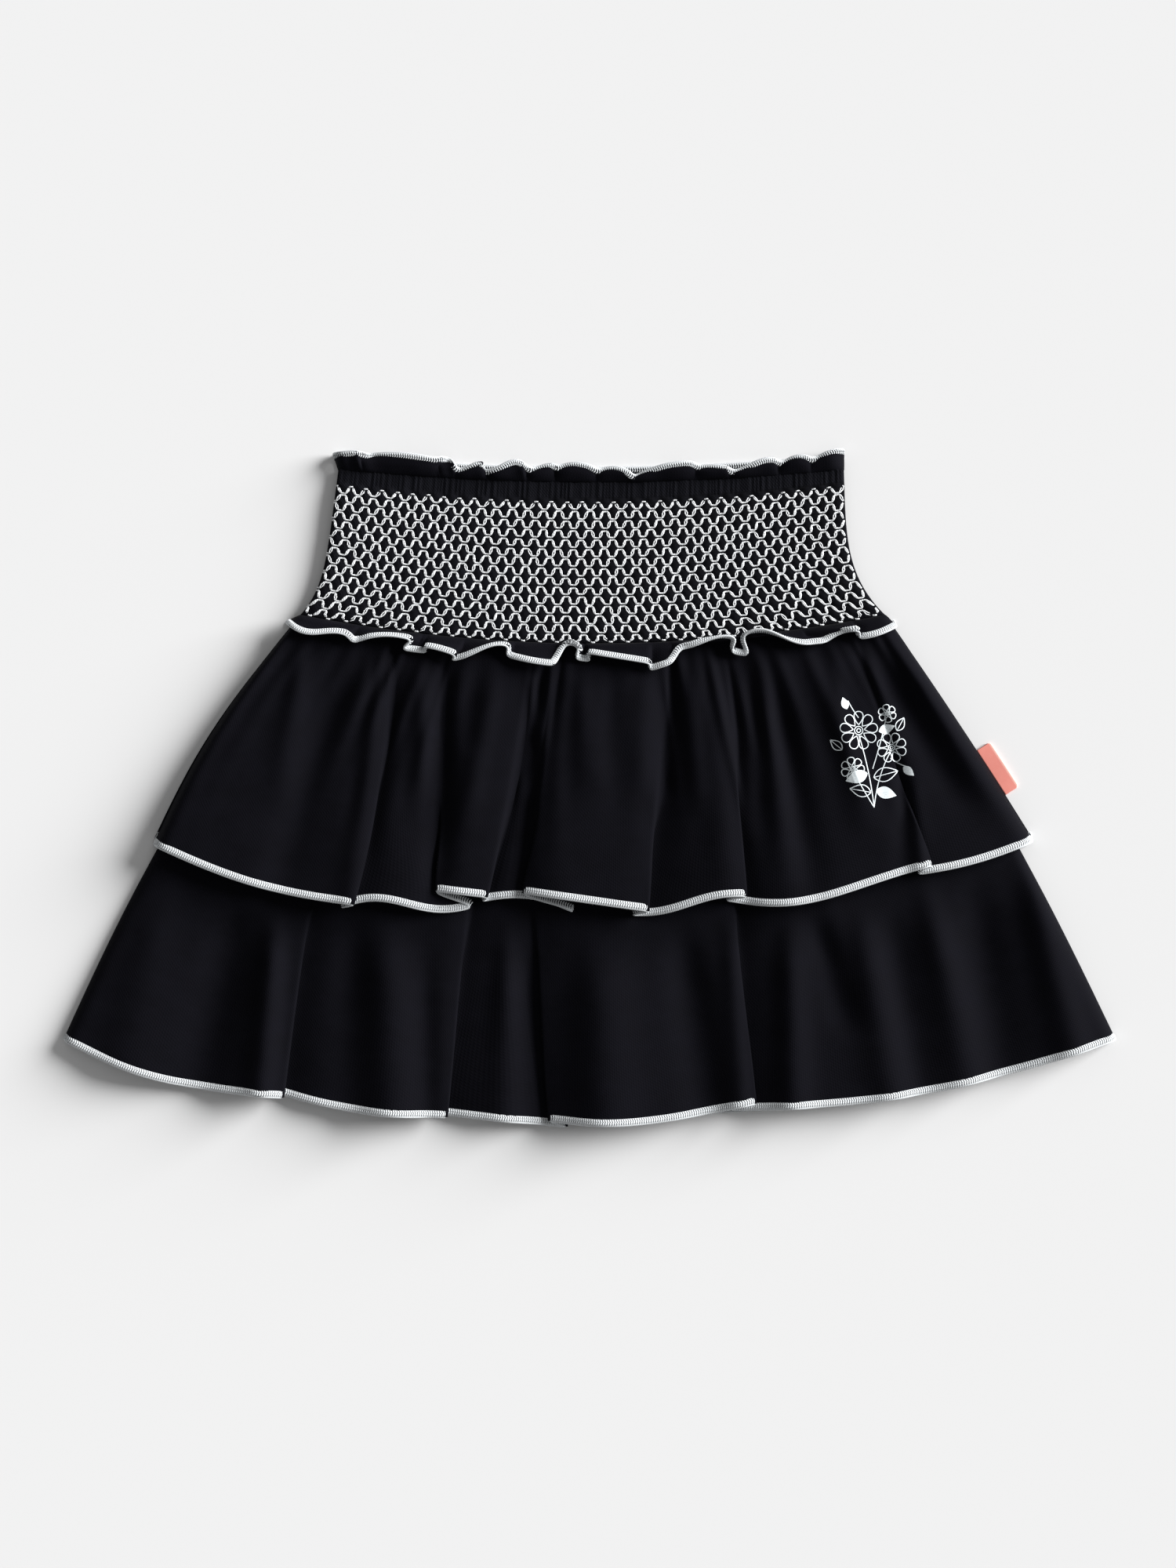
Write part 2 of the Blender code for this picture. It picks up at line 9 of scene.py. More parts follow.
import bpy
import numpy as np
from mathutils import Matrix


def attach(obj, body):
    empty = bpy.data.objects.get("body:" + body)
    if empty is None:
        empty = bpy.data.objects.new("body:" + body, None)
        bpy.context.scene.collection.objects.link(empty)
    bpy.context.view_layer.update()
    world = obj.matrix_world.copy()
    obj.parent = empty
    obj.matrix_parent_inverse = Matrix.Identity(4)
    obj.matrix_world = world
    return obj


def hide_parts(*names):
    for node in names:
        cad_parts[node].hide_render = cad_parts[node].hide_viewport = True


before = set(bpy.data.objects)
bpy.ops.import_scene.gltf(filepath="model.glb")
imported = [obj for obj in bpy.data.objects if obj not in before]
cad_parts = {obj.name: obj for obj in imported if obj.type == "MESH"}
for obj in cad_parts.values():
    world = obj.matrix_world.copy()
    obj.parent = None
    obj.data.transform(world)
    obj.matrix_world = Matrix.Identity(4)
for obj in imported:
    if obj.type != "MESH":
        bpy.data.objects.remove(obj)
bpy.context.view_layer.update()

# Long tier
# The lower flounce is one deep gathered strip of black jersey, closed into a tube. It hangs
# from the waist seam beneath the short tier, and lies in four deep folds and soft creases.
MM = 0.001
MIDDLE_ACROSS = 0.75
MIDDLE_DOWN = 161.0
CLOTH = 1.0
SEAM_GAP = 0.3
LAYER = CLOTH + SEAM_GAP
JERSEY_THICK = 0.8
JERSEY_MIDDLE = CLOTH / 2
SIDE_MEETING = 1.3
COLUMN_WIDTH = 1.9
COLUMN_EASE = 0.4
TURN_COLUMNS = 9
CURL = 0.18
ROLL_LEVEL = 0.45
DIP_POWER = 1.1
SIDE_DROP = 0.5
TIER_TURN = 1.5
TOP_TURN = 1.3
SOFTENING = 4
HEM_RAISE = 0.4
HEM_LEVEL_FROM = 0.8
TROUGH_BELOW = 0.1
CREASE_SPREAD = (0.7, 1.1)
CREASE_FADE_IN = 0.3
CREASE_FADE_OUT = 0.35
CREASE_END = 1.1
GATHER_WANDER = 0.32
GATHER_TALL = (0.35, 1.25)
GATHER_REACH = (0.5, 1.7)
GATHER_WIDE = (0.2, 0.38)
CRIMPS = 92
CRIMP_MEAN = 0.65
TIER_SIDE_ROUND = 6.0
TIER_TOP_ROUND_SHARE = 0.4
JERSEY_BLACK = (0.0023, 0.0022, 0.0038, 1)
JERSEY_WORN = (0.0044, 0.0043, 0.0067, 1)
JERSEY_BUMP = 0.35
BUMP_HEIGHT = 0.0002
LOOP_PITCH = 0.0007
FIBRE_PER_LOOP = 0.6
FIBRE_SHADE = 0.35
FIBRE_RISE = 0.7
MOTTLE_SIZE = 0.012
# Scale of a wave texture that has its bands a metre apart.
WAVE_METRE = 0.314
# Places of the two colours among a mix node's inputs, and of the mixed one among its outputs.
MIX_FIRST, MIX_SECOND, MIX_RESULT = 6, 7, 2

Line = namedtuple("Line", "side centre")
Side = namedtuple("Side", "top_x bottom_x bow")
Step = namedtuple("Step", "v z")
Fold = namedtuple(
    "Fold", "facing edge_x edge_down under_x under_down sag swing top_x bend reach lift wide"
)
Crease = namedtuple("Crease", "top_x top_v foot_x foot_v width height")
Gathers = namedtuple("Gathers", "count depth reach seed")
Dip = namedtuple("Dip", "top edge")
Wander = namedtuple("Wander", "size rate start")
Flounce = namedtuple(
    "Flounce",
    "folds left right corners last_sag back_edge back_power turn lift_power root ends gap "
    "front_steps back_steps rows creases gathers crimping dips",
)
CRIMP_DRIFT = (Wander(0.5, 59, 0), Wander(0.35, 151, 1))
CRIMP_UNEVEN = (Wander(0.2, 83, 2), Wander(0.15, 211, 0))

# The back's creases have places down in their two columns of v.
BACK_CREASES = (
    Crease(-120, 112, -176, 262, 7, 0.9),
    Crease(-84, 104, -98, 205, 5, 0.7),
    Crease(-60, 150, -71, 330, 8, 1.0),
    Crease(-18, 108, -12, 240, 5, 0.7),
    Crease(14, 170, 22, 335, 7, 0.9),
    Crease(52, 106, 70, 250, 6, 0.8),
    Crease(96, 140, 138, 322, 8, 1.0),
    Crease(122, 104, 190, 300, 6, 0.8),
)
WAIST_SEAM = Line(79.5, 93.0)
SEAM_ENDS = (-135.5, 140.0)
LONG_TIER = Flounce(
    folds=(
        Fold("right", -142.5, 306.5, -150.0, 303.5, 7.0, 0.7, -94.0, 0.6, 0.55, 10.5, 1.2),
        Fold("right", -66.0, 315.5, -73.5, 314.0, 3.7, 0.0, -42.0, 1.0, 0.55, 10.0, 1.0),
        Fold("left", -18.5, 317.5, -9.5, 320.5, 0.0, 0.0, -27.0, 3.0, 0.50, 10.0, 1.0),
        Fold("right", 79.0, 309.0, 66.5, 312.5, 4.8, 0.4, 58.0, 1.0, 0.55, 11.5, 0.8),
    ),
    left=Side(-131.0, -247.0, 0.07),
    right=Side(135.5, 248.5, 0.05),
    corners=(279.5, 279.5),
    last_sag=8.5,
    back_edge=Line(279.5, 315.0),
    back_power=2.4,
    turn=TIER_TURN,
    lift_power=1.3,
    root=WAIST_SEAM,
    ends=SEAM_ENDS,
    gap=SEAM_GAP,
    front_steps=(
        Step(0, 3 * LAYER + CLOTH / 2),
        Step(0.06, 3 * LAYER + CLOTH / 2),
        Step(0.13, 2 * LAYER + CLOTH),
        Step(0.55, 2 * LAYER + CLOTH),
        Step(0.68, LAYER + CLOTH / 2),
        Step(1, LAYER + CLOTH / 2),
    ),
    back_steps=(
        Step(0, 2 * LAYER),
        Step(0.055, 2 * LAYER),
        Step(0.11, LAYER),
        Step(0.545, LAYER),
        Step(0.6, 0.0),
        Step(1, 0.0),
    ),
    rows=70,
    creases=(
        Crease(-196, 0.55, -222, 1.1, 12, 3.0),
        Crease(-162, 0.56, -188, 1.1, 12, -6.0),
        Crease(-146, 0.58, -156, 1.1, 6, 5.6),
        Crease(-110, 0.56, -112, 1.1, 8, -2.8),
        Crease(-95, 0.55, -91, 1.2, 11, 5.4),
        Crease(-77, 0.60, -76, 1.2, 5, -2.0),
        Crease(-38, 0.55, -37, 1.2, 6, 4.5),
        Crease(-30, 0.60, -26, 1.2, 5, -2.7),
        Crease(5, 0.55, 9, 1.2, 14, 6.0),
        Crease(42, 0.56, 60, 1.1, 9, -5.2),
        Crease(66, 0.56, 73, 1.1, 5, 2.5),
        Crease(95, 0.55, 97, 1.2, 7, 4.7),
        Crease(106, 0.58, 124, 0.86, 6, -3.8),
        Crease(126, 0.56, 148, 1.1, 7, 4.6),
        Crease(141, 0.56, 160, 1.1, 7, -2.6),
        Crease(157, 0.55, 184, 1.1, 7, 4.2),
        Crease(180, 0.55, 198, 1.1, 11, -4.0),
        Crease(205, 0.55, 234, 1.1, 9, 5.4),
    ),
    gathers=Gathers(30, 0.6, 0.05, 3),
    crimping=0.0,
    dips=Dip(8.0, 15.0),
)


def blend(start, end, share):
    return start + (end - start) * share


def smooth(share):
    """An ease from 0 to 1: three squares less two cubes of the share, kept within 0 and 1."""
    share = np.clip(share, 0.0, 1.0)
    return share * share * (3 - 2 * share)


def step_height(steps, v):
    """Height at v in a table of steps, eased from each step to the next."""
    height = np.full(np.shape(v), float(steps[-1].z))
    for low, high in reversed(list(zip(steps, steps[1:]))):
        between = blend(low.z, high.z, smooth((v - low.v) / (high.v - low.v)))
        height = np.where(v <= high.v, between, height)
    return height


def line_down(line, x, left, right, power=2.0):
    """Down of a line that hangs lowest at the centre and rises to its sides by a power."""
    offset = np.abs(x - (left + right) / 2) * 2 / (right - left)
    return blend(line.centre, line.side, np.minimum(offset, 1.0) ** power)


def side_x(side, v):
    """x of an outline that bows outwards by half a sine between its ends."""
    return blend(side.top_x, side.bottom_x, v + side.bow * np.sin(math.pi * v))


def round_side(x, left, right, reach):
    """0 at a side edge, rising as a quarter round to 1 at reach inside it."""
    inside = np.clip(np.minimum(x - left, right - x) / reach, 0.0, 1.0)
    return np.sqrt(1 - (1 - inside) ** 2)


def place(x, down, z):
    """Millimetres across, down and up as points of the model, in metres."""
    x, down, z = np.broadcast_arrays(x, down, z)
    return np.stack([(x - MIDDLE_ACROSS) * MM, (MIDDLE_DOWN - down) * MM, z * MM], axis=-1)


def turned(share, doubled):
    """A share of the way that slows by a cosine at both ends where the cloth doubles back."""
    return blend(share, (1 - np.cos(math.pi * share)) / 2, doubled)


def fold_turns(flounce, v):
    """Each fold's two turns at every row v, in their order along the cloth, and its doubling."""
    turns = []
    for fold in flounce.folds:
        line = blend(fold.top_x, fold.edge_x, v ** fold.bend)
        doubled = smooth((v - 1 + fold.reach) / fold.reach)
        edge = (fold.edge_x, fold.edge_down)
        under = (fold.under_x, fold.under_down)
        first, second = (edge, under) if fold.facing == "right" else (under, edge)
        turn = flounce.turn * blend(TOP_TURN, 1.0, v)
        first_x = line + blend(-turn, first[0] - fold.edge_x, doubled)
        second_x = line + blend(turn, second[0] - fold.edge_x, doubled)
        turns.append(((first_x, first[1]), (second_x, second[1]), doubled))
    return turns


def edge_level(fold, on_top):
    """Level of the cloth at one turn of a fold: the lower turn, or the upper one."""
    top = ROLL_LEVEL if fold.facing == "left" else 1 - CURL
    return top if on_top else CURL


def fold_dip(flounce, fold, on_top, distance, doubled, v):
    """How far the level falls at a distance from a fold: most at the fold, then less and less.

    The distance counts from where the cloth comes out of the fold. The dip dies away as the
    exponential of a power of it.
    """
    hidden = (1 - on_top) * abs(fold.edge_x - fold.under_x) * doubled
    width = fold.wide * blend(flounce.dips.top, flounce.dips.edge, v)
    across = np.maximum(distance - hidden, 0.0) / width
    return (1 - edge_level(fold, on_top)) * np.exp(-(across ** DIP_POWER))


def panel_columns(flounce, k, start, end, doubled, v):
    """x, down, level and lift of the cloth between two folds, or a fold and a side.

    x goes from start to end. The level is 1 on top, dips towards each fold and falls evenly
    towards a side. The hem bows by half a sine of sag and a whole one of swing.
    """
    before = flounce.folds[k - 1] if k else None
    after = flounce.folds[k] if k < len(flounce.folds) else None
    low = 1.0 if before and before.facing == "left" else 0.0
    high = 1.0 if after and after.facing == "right" else 0.0
    sag, swing = (after.sag, after.swing) if after else (flounce.last_sag, 0.0)
    across = np.abs(end[0] - start[0])
    count = max(8, math.ceil(float(across.max()) / COLUMN_WIDTH)) + 1
    even = np.linspace(0, 1, count)[None, :]
    share = turned(even, COLUMN_EASE)
    way = turned(share, doubled)
    level = np.ones_like(way)
    if before:
        level -= fold_dip(flounce, before, low, way * across, doubled, v)
    else:
        level -= SIDE_DROP * (1 - way)
    if after:
        level -= fold_dip(flounce, after, high, (1 - way) * across, doubled, v)
    else:
        level -= SIDE_DROP * way
    down = blend(start[1], end[1], way)
    down = down + sag * np.sin(math.pi * way) + swing * np.sin(2 * math.pi * way)
    lift = blend((before or after).lift, (after or before).lift, share) * np.ones_like(way)
    return blend(start[0], end[0], way), down, level, lift


def turn_columns(fold, first, second, doubled):
    """x, down, level and lift between a fold's two turns.

    The level climbs by an ease, and by a cube about the middle where the cloth is doubled.
    """
    share = (np.arange(1, TURN_COLUMNS) / TURN_COLUMNS)[None, :]
    climb = blend(smooth(share), (1 + (2 * share - 1) ** 3) / 2, doubled)
    if fold.facing == "right":
        climb = 1 - climb
    level = blend(edge_level(fold, False), edge_level(fold, True), climb)
    x = blend(first[0], second[0], turned(share, doubled))
    whole = np.ones_like(x)
    return x, blend(first[1], second[1], share) * whole, level * whole, fold.lift * whole


def folded_columns(flounce, v):
    """x, hem down, level and lift of a folded wall, as arrays of rows by columns."""
    turns = fold_turns(flounce, v)
    left_end = (side_x(flounce.left, v), flounce.corners[0])
    right_end = (side_x(flounce.right, v), flounce.corners[1])
    starts = [left_end] + [second for _, second, _ in turns]
    ends = [first for first, _, _ in turns] + [right_end]
    doubling = [np.zeros_like(v)] + [doubled for _, _, doubled in turns] + [np.zeros_like(v)]
    strips = []
    for k in range(len(starts)):
        mean = (doubling[k] + doubling[k + 1]) / 2
        strips.append(panel_columns(flounce, k, starts[k], ends[k], mean, v))
        if k < len(turns):
            strips.append(turn_columns(flounce.folds[k], *turns[k]))
    return [np.concatenate(parts, axis=1) for parts in zip(*strips)]


def crease_height(table, x, v):
    """Soft ridges and troughs: a bell across the line from top to foot, faded at both ends."""
    height = np.zeros_like(x)
    for crease in table:
        along = (v - crease.top_v) / (crease.foot_v - crease.top_v)
        width = crease.width * blend(*CREASE_SPREAD, np.clip(along, 0, 1))
        bell = np.exp(-(((x - blend(crease.top_x, crease.foot_x, along)) / width) ** 2))
        fade = smooth(along / CREASE_FADE_IN) * smooth((CREASE_END - along) / CREASE_FADE_OUT)
        height += crease.height * bell * fade
    return height


def gather_height(gathers, across, v):
    """Short uneven ridges that fan out from a seam: bells across it that rise and die away."""
    rng = np.random.default_rng(gathers.seed)
    count = gathers.count
    at = (np.arange(count) + 0.5 + rng.uniform(-GATHER_WANDER, GATHER_WANDER, count)) / count
    tall = gathers.depth * rng.uniform(*GATHER_TALL, count)
    reach = gathers.reach * rng.uniform(*GATHER_REACH, count)
    width = rng.uniform(*GATHER_WIDE, count) / count
    bell = np.exp(-(((across[..., None] - at) / width) ** 2))
    way = v[..., None] / reach
    return (tall * bell * way * np.exp(1 - way)).sum(axis=-1)


def wandering(wanders, share):
    """The sum of a table of sines."""
    return sum(one.size * np.sin(one.rate * share + one.start) for one in wanders)


def crimp(share):
    """Fine uneven upright ridges, 0 to 1: a cosine whose phase and height wander by sines."""
    turns = CRIMPS * share + wandering(CRIMP_DRIFT, share)
    tall = CRIMP_MEAN + wandering(CRIMP_UNEVEN, share)
    return tall * (1 + np.cos(2 * math.pi * turns)) / 2


def softened(values, passes):
    """Values averaged along a row with their neighbours, one part to two to one."""
    for _ in range(passes):
        inner = (values[:, :-2] + 2 * values[:, 1:-1] + values[:, 2:]) / 4
        values = np.concatenate([values[:, :1], inner, values[:, -1:]], axis=1)
    return values


def front_points(flounce, side_meeting, round_reach):
    """Rows by columns of points on the front of a flounce, from its root to its free edge.

    A point's height is the layer's own, plus the fold's lift times its level, plus gathers,
    crimps and creases. It is kept off the layer below, rounded down at the sides, and
    softened along its row.
    """
    v = np.linspace(0, 1, flounce.rows)[:, None]
    x, edge_down, level, lift = folded_columns(flounce, v)
    left, right = side_x(flounce.left, v), side_x(flounce.right, v)
    root_down = line_down(flounce.root, x[:1], *flounce.ends) + flounce.gap
    base = step_height(flounce.front_steps, v)
    floor = step_height(flounce.back_steps, v) + side_meeting
    across = (x - left) / (right - left)
    z = base + lift * v ** flounce.lift_power * level
    z += gather_height(flounce.gathers, across, v * np.ones_like(x))
    z += flounce.crimping * crimp(across) * (1 - smooth(v))
    z += crease_height(flounce.creases, x, v)
    z = np.maximum(z, base - TROUGH_BELOW)
    reach = round_reach * blend(TIER_TOP_ROUND_SHARE, 1.0, v)
    z = floor + (z - floor) * round_side(x, left, right, reach)
    down = blend(root_down, edge_down, v)
    z += crease_height(BACK_CREASES, x, down)
    return place(*(softened(values, SOFTENING) for values in (x, down, z)))


def back_points(flounce, rows, columns):
    """Rows by columns of points on the back of a flounce.

    It is flat but for its creases, the layers that it steps over, and a slow rise to the hem
    that makes room for the overlock below it.
    """
    v = np.linspace(0, 1, rows)[:, None]
    share = np.linspace(0, 1, columns)[None, :]
    top_x = blend(flounce.left.top_x, flounce.right.top_x, share)
    edge_x = blend(flounce.left.bottom_x, flounce.right.bottom_x, share)
    root_down = line_down(flounce.root, top_x, *flounce.ends) + flounce.gap
    ends = (flounce.left.bottom_x, flounce.right.bottom_x)
    edge_down = line_down(flounce.back_edge, edge_x, *ends, flounce.back_power)
    x = blend(side_x(flounce.left, v), side_x(flounce.right, v), share)
    down = blend(root_down, edge_down, v)
    z = step_height(flounce.back_steps, v) + JERSEY_MIDDLE + HEM_RAISE * smooth(v / HEM_LEVEL_FROM)
    return place(x, down, z + crease_height(BACK_CREASES, x, down))


def lengths(points, axis):
    """Distance travelled along one axis of a grid of points, from 0, in metres."""
    steps = np.linalg.norm(np.diff(points, axis=axis), axis=-1)
    first = np.zeros_like(np.take(steps, [0], axis=axis))
    return np.concatenate([first, np.cumsum(steps, axis=axis)], axis=axis)


def new_mesh(name, points, faces, uv):
    """A smooth mesh of points and faces, with a UV map from the points' UVs."""
    mesh = bpy.data.meshes.new(name)
    mesh.from_pydata(points.reshape(-1, 3), [], faces)
    corners = np.empty(len(mesh.loops), dtype=np.int32)
    mesh.loops.foreach_get("vertex_index", corners)
    uv_map = mesh.uv_layers.new(name="UVMap")
    uv_map.uv.foreach_set("vector", uv.reshape(-1, 2)[corners].ravel())
    mesh.shade_smooth()
    return mesh


def quads_between(before, after):
    """Quads between rows of corners and the rows after them."""
    corners = [before[..., :-1], after[..., :-1], after[..., 1:], before[..., 1:]]
    return np.stack(corners, axis=-1).reshape(-1, 4)


def grid_mesh(name, points, uv, closed=False):
    """A mesh of quads over rows by columns of points, faces up for rows down.

    In a closed one the rows run round, and quads across both ends join each row to the one
    as far from the last row as it is from the first.
    """
    rows, columns = points.shape[:2]
    corner = np.arange(rows * columns).reshape(rows, columns)
    if closed:
        there, back = corner[: rows // 2], corner[::-1][: rows // 2]
        quads = np.concatenate([
            quads_between(corner, np.roll(corner, -1, axis=0)),
            quads_between(there[:, 0], back[:, 0]),
            quads_between(back[:, -1], there[:, -1]),
        ])
    else:
        quads = quads_between(corner[:-1], corner[1:])
    return new_mesh(name, points, quads.tolist(), uv)


def add_piece(name, mesh, material):
    """Puts a mesh into the scene at the origin, as part of the skirt."""
    mesh.materials.append(material)
    piece = bpy.data.objects.new(name, mesh)
    bpy.context.scene.collection.objects.link(piece)
    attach(piece, "root")
    return piece


def thicken(piece, thickness):
    """Makes a sheet a wall, with half of its thickness on each side."""
    wall = piece.modifiers.new("Thickness", "SOLIDIFY")
    wall.thickness = thickness * MM
    wall.offset = 0


def cloth_piece(name, points):
    """A wall of jersey over a grid of points, its UVs in metres."""
    across = np.broadcast_to(lengths(points, 1)[len(points) // 2], points.shape[:2])
    uv = np.stack([across, -lengths(points, 0)], -1)
    piece = add_piece(name, grid_mesh(name, points, uv), jersey)
    thicken(piece, JERSEY_THICK)
    return piece


def fill_inputs(tree, node, inputs):
    """Links or sets the inputs of a node that a table names."""
    for name, value in inputs.items():
        if isinstance(value, bpy.types.NodeSocket):
            tree.links.new(value, node.inputs[name])
        else:
            node.inputs[name].default_value = value


def shader_node(tree, kind, inputs, **settings):
    """Adds a node, sets its properties, and links or sets its inputs."""
    made = tree.nodes.new(kind)
    for name, value in settings.items():
        setattr(made, name, value)
    fill_inputs(tree, made, inputs)
    return made


def uv_place(tree):
    return shader_node(tree, "ShaderNodeUVMap", {}, uv_map="UVMap").outputs["UV"]


def noise(tree, where, scale, detail, roughness=0.5):
    """Fractal noise over a place."""
    inputs = {"Vector": where, "Scale": scale, "Detail": detail, "Roughness": roughness}
    return shader_node(tree, "ShaderNodeTexNoise", inputs).outputs["Fac"]


def wave(tree, where, direction, pitch, distortion, detail=2.0):
    """Bands that rise and fall as a sine over a place, a pitch apart."""
    scale = WAVE_METRE / pitch
    inputs = {"Vector": where, "Scale": scale, "Distortion": distortion, "Detail": detail}
    made = shader_node(tree, "ShaderNodeTexWave", inputs, bands_direction=direction)
    return made.outputs["Fac"]


def reckoned(tree, operation, *values, **settings):
    """One step of arithmetic on sockets and numbers."""
    inputs = dict(enumerate(values))
    made = shader_node(tree, "ShaderNodeMath", inputs, operation=operation, **settings)
    return made.outputs[0]


def mapped(tree, value, low, high, to_low=0.0, to_high=1.0):
    """A value between two limits, moved to between two others."""
    limits = {"From Min": low, "From Max": high, "To Min": to_low, "To Max": to_high}
    return shader_node(tree, "ShaderNodeMapRange", {"Value": value, **limits}).outputs["Result"]


def mixed(tree, share, first, second):
    """Two colours blended by a share."""
    inputs = {"Factor": share, MIX_FIRST: first, MIX_SECOND: second}
    return shader_node(tree, "ShaderNodeMix", inputs, data_type="RGBA").outputs[MIX_RESULT]


def raised(tree, height, strength, distance=BUMP_HEIGHT):
    """A normal that leans with the slopes of a height."""
    inputs = {"Strength": strength, "Distance": distance, "Height": height}
    return shader_node(tree, "ShaderNodeBump", inputs).outputs["Normal"]


def new_material(name):
    """A material and its node tree."""
    material = bpy.data.materials.new(name)
    material.use_nodes = True
    return material, material.node_tree


def coat(tree, colour, roughness, specular, **more):
    """Links or sets the inputs of a material's main shader."""
    shader = tree.nodes["Principled BSDF"]
    inputs = {"Base Color": colour, "Roughness": roughness, "Specular IOR Level": specular}
    fill_inputs(tree, shader, {**inputs, **more})


def knit_group():
    """Jersey as a shader group: columns of knitted loops, slubs, and soft mottling.

    Shade and Height vary over the piece's UV map. Height is one wave across the loops times
    one along them, plus fibre noise. Shade is broad noise with a little of the fine noise.
    """
    tree = bpy.data.node_groups.new("Knitted loops", "ShaderNodeTree")
    for name in ("Shade", "Height"):
        tree.interface.new_socket(name=name, in_out="OUTPUT", socket_type="NodeSocketFloat")
    where = uv_place(tree)
    across = wave(tree, where, "X", LOOP_PITCH, distortion=0.6, detail=1.0)
    along = wave(tree, where, "DIAGONAL", LOOP_PITCH, distortion=0.8, detail=1.0)
    loops = reckoned(tree, "MULTIPLY", across, along)
    fibre = noise(tree, where, FIBRE_PER_LOOP / LOOP_PITCH, detail=3.0, roughness=0.6)
    mottle = noise(tree, where, 1 / MOTTLE_SIZE, detail=4.0, roughness=0.65)
    shade = reckoned(tree, "MULTIPLY_ADD", fibre, FIBRE_SHADE, mottle)
    shade = mapped(tree, shade, low=0.4, high=0.95)
    height = reckoned(tree, "MULTIPLY_ADD", fibre, FIBRE_RISE, loops)
    result = tree.nodes.new("NodeGroupOutput")
    fill_inputs(tree, result, {"Shade": shade, "Height": height})
    return tree


KNIT = knit_group()


def jersey_material(name, dark, worn, bump):
    """Matt knitted jersey: the knit's shade blends two blacks and its height is the bump."""
    material, tree = new_material(name)
    knit = shader_node(tree, "ShaderNodeGroup", {}, node_tree=KNIT).outputs
    colour = mixed(tree, knit["Shade"], dark, worn)
    roughness = mapped(tree, knit["Shade"], low=0.0, high=1.0, to_low=0.78, to_high=0.92)
    relief = raised(tree, knit["Height"], bump)
    sheen = {"Sheen Weight": 0.01, "Sheen Roughness": 0.4}
    coat(tree, colour, roughness, specular=0.05, Normal=relief, **sheen)
    return material


jersey = jersey_material("Black jersey", JERSEY_BLACK, JERSEY_WORN, JERSEY_BUMP)
long_front_points = front_points(LONG_TIER, SIDE_MEETING, TIER_SIDE_ROUND)
long_back_points = back_points(LONG_TIER, rows=50, columns=150)
long_back = cloth_piece("long_tier_back", long_back_points)
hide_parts("tier_2_back")
long_front = cloth_piece("long_tier_front", long_front_points)
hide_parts("tier_2_front")

# Short tier
# The upper flounce is cut and gathered like the long one, half as deep, and is sewn into the
# same seam on top of it. Two of its seven folds show the wrong side of the hem.
SHORT_TIER = LONG_TIER._replace(
    folds=(
        Fold("right", -109.0, 215.5, -116.0, 217.0, 5.0, 0.0, -92.0, 2.2, 0.75, 10.5, 0.9),
        Fold("left", -72.0, 209.0, -54.5, 217.0, -1.0, -3.0, -66.5, 1.0, 0.40, 11.0, 0.9),
        Fold("right", -47.0, 212.0, -49.5, 214.0, 0.0, 0.0, -28.0, 1.6, 0.50, 11.0, 0.8),
        Fold("left", -31.0, 210.0, -6.0, 219.5, -4.5, 0.0, -12.0, 1.0, 0.40, 11.0, 0.9),
        Fold("right", 28.5, 218.5, 20.5, 220.5, 0.0, 0.0, 40.0, 1.0, 0.50, 11.0, 1.6),
        Fold("right", 74.5, 211.5, 64.5, 213.5, 0.0, 1.8, 61.0, 0.5, 0.70, 10.5, 0.8),
        Fold("right", 161.5, 197.0, 154.0, 201.5, 7.0, 1.8, 122.0, 1.0, 0.60, 6.0, 0.4),
    ),
    left=Side(-135.5, -204.5, 0.09),
    right=Side(140.0, 209.5, 0.02),
    corners=(187.5, 186.0),
    last_sag=2.2,
    back_edge=Line(184.5, 210.0),
    lift_power=0.75,
    front_steps=(Step(0, 4 * LAYER + CLOTH / 2), Step(0.1, 4 * LAYER + CLOTH), Step(1, 8.4)),
    back_steps=(Step(0, LAYER), Step(0.1, LAYER), Step(0.17, 0.0), Step(1, 0.0)),
    rows=56,
    creases=(
        Crease(-132, 0.05, -146, 0.70, 4, 2.6),
        Crease(-112, 0.05, -148, 1.1, 11, -4.0),
        Crease(-97, 0.05, -114, 1.2, 6, 3.0),
        Crease(-98, 0.00, -112, 0.75, 3, -2.2),
        Crease(-77, 0.05, -76, 1.1, 6, 3.0),
        Crease(-66, 0.00, -68, 0.95, 3.5, -3.2),
        Crease(-42, 0.05, -58, 0.75, 3.5, 2.6),
        Crease(-52, 0.00, -56, 0.45, 2.5, -2.2),
        Crease(-28, 0.05, -24, 0.40, 4, 2.2),
        Crease(-20, 0.05, -30, 0.55, 4, -2.6),
        Crease(-6, 0.05, 3, 0.60, 6, 1.8),
        Crease(25, 0.05, 26, 0.60, 4.5, 2.6),
        Crease(38, 0.00, 38, 0.55, 4, -3.2),
        Crease(48, 0.02, 52, 0.70, 4.5, 2.4),
        Crease(60, 0.15, 66, 1.1, 7, 1.5),
        Crease(76, 0.02, 84, 0.80, 3.5, -2.6),
        Crease(80, 0.02, 99, 1.1, 4, 2.6),
        Crease(86, 0.08, 107, 1.05, 6, -4.6),
        Crease(112, 0.05, 131, 0.85, 5, 2.6),
        Crease(128, 0.05, 150, 0.60, 4, 1.8),
        Crease(134, 0.10, 178, 0.80, 6, -2.6),
        Crease(146, 0.10, 192, 0.85, 7, 2.4),
        Crease(147, 0.55, 150, 1.1, 4, -2.2),
        Crease(151, 0.55, 158, 1.1, 4, 2.4),
    ),
    gathers=Gathers(38, 2.9, 0.14, 11),
    dips=Dip(4.5, 11.0),
)
short_front_points = front_points(SHORT_TIER, SIDE_MEETING, TIER_SIDE_ROUND)
short_back_points = back_points(SHORT_TIER, rows=40, columns=120)
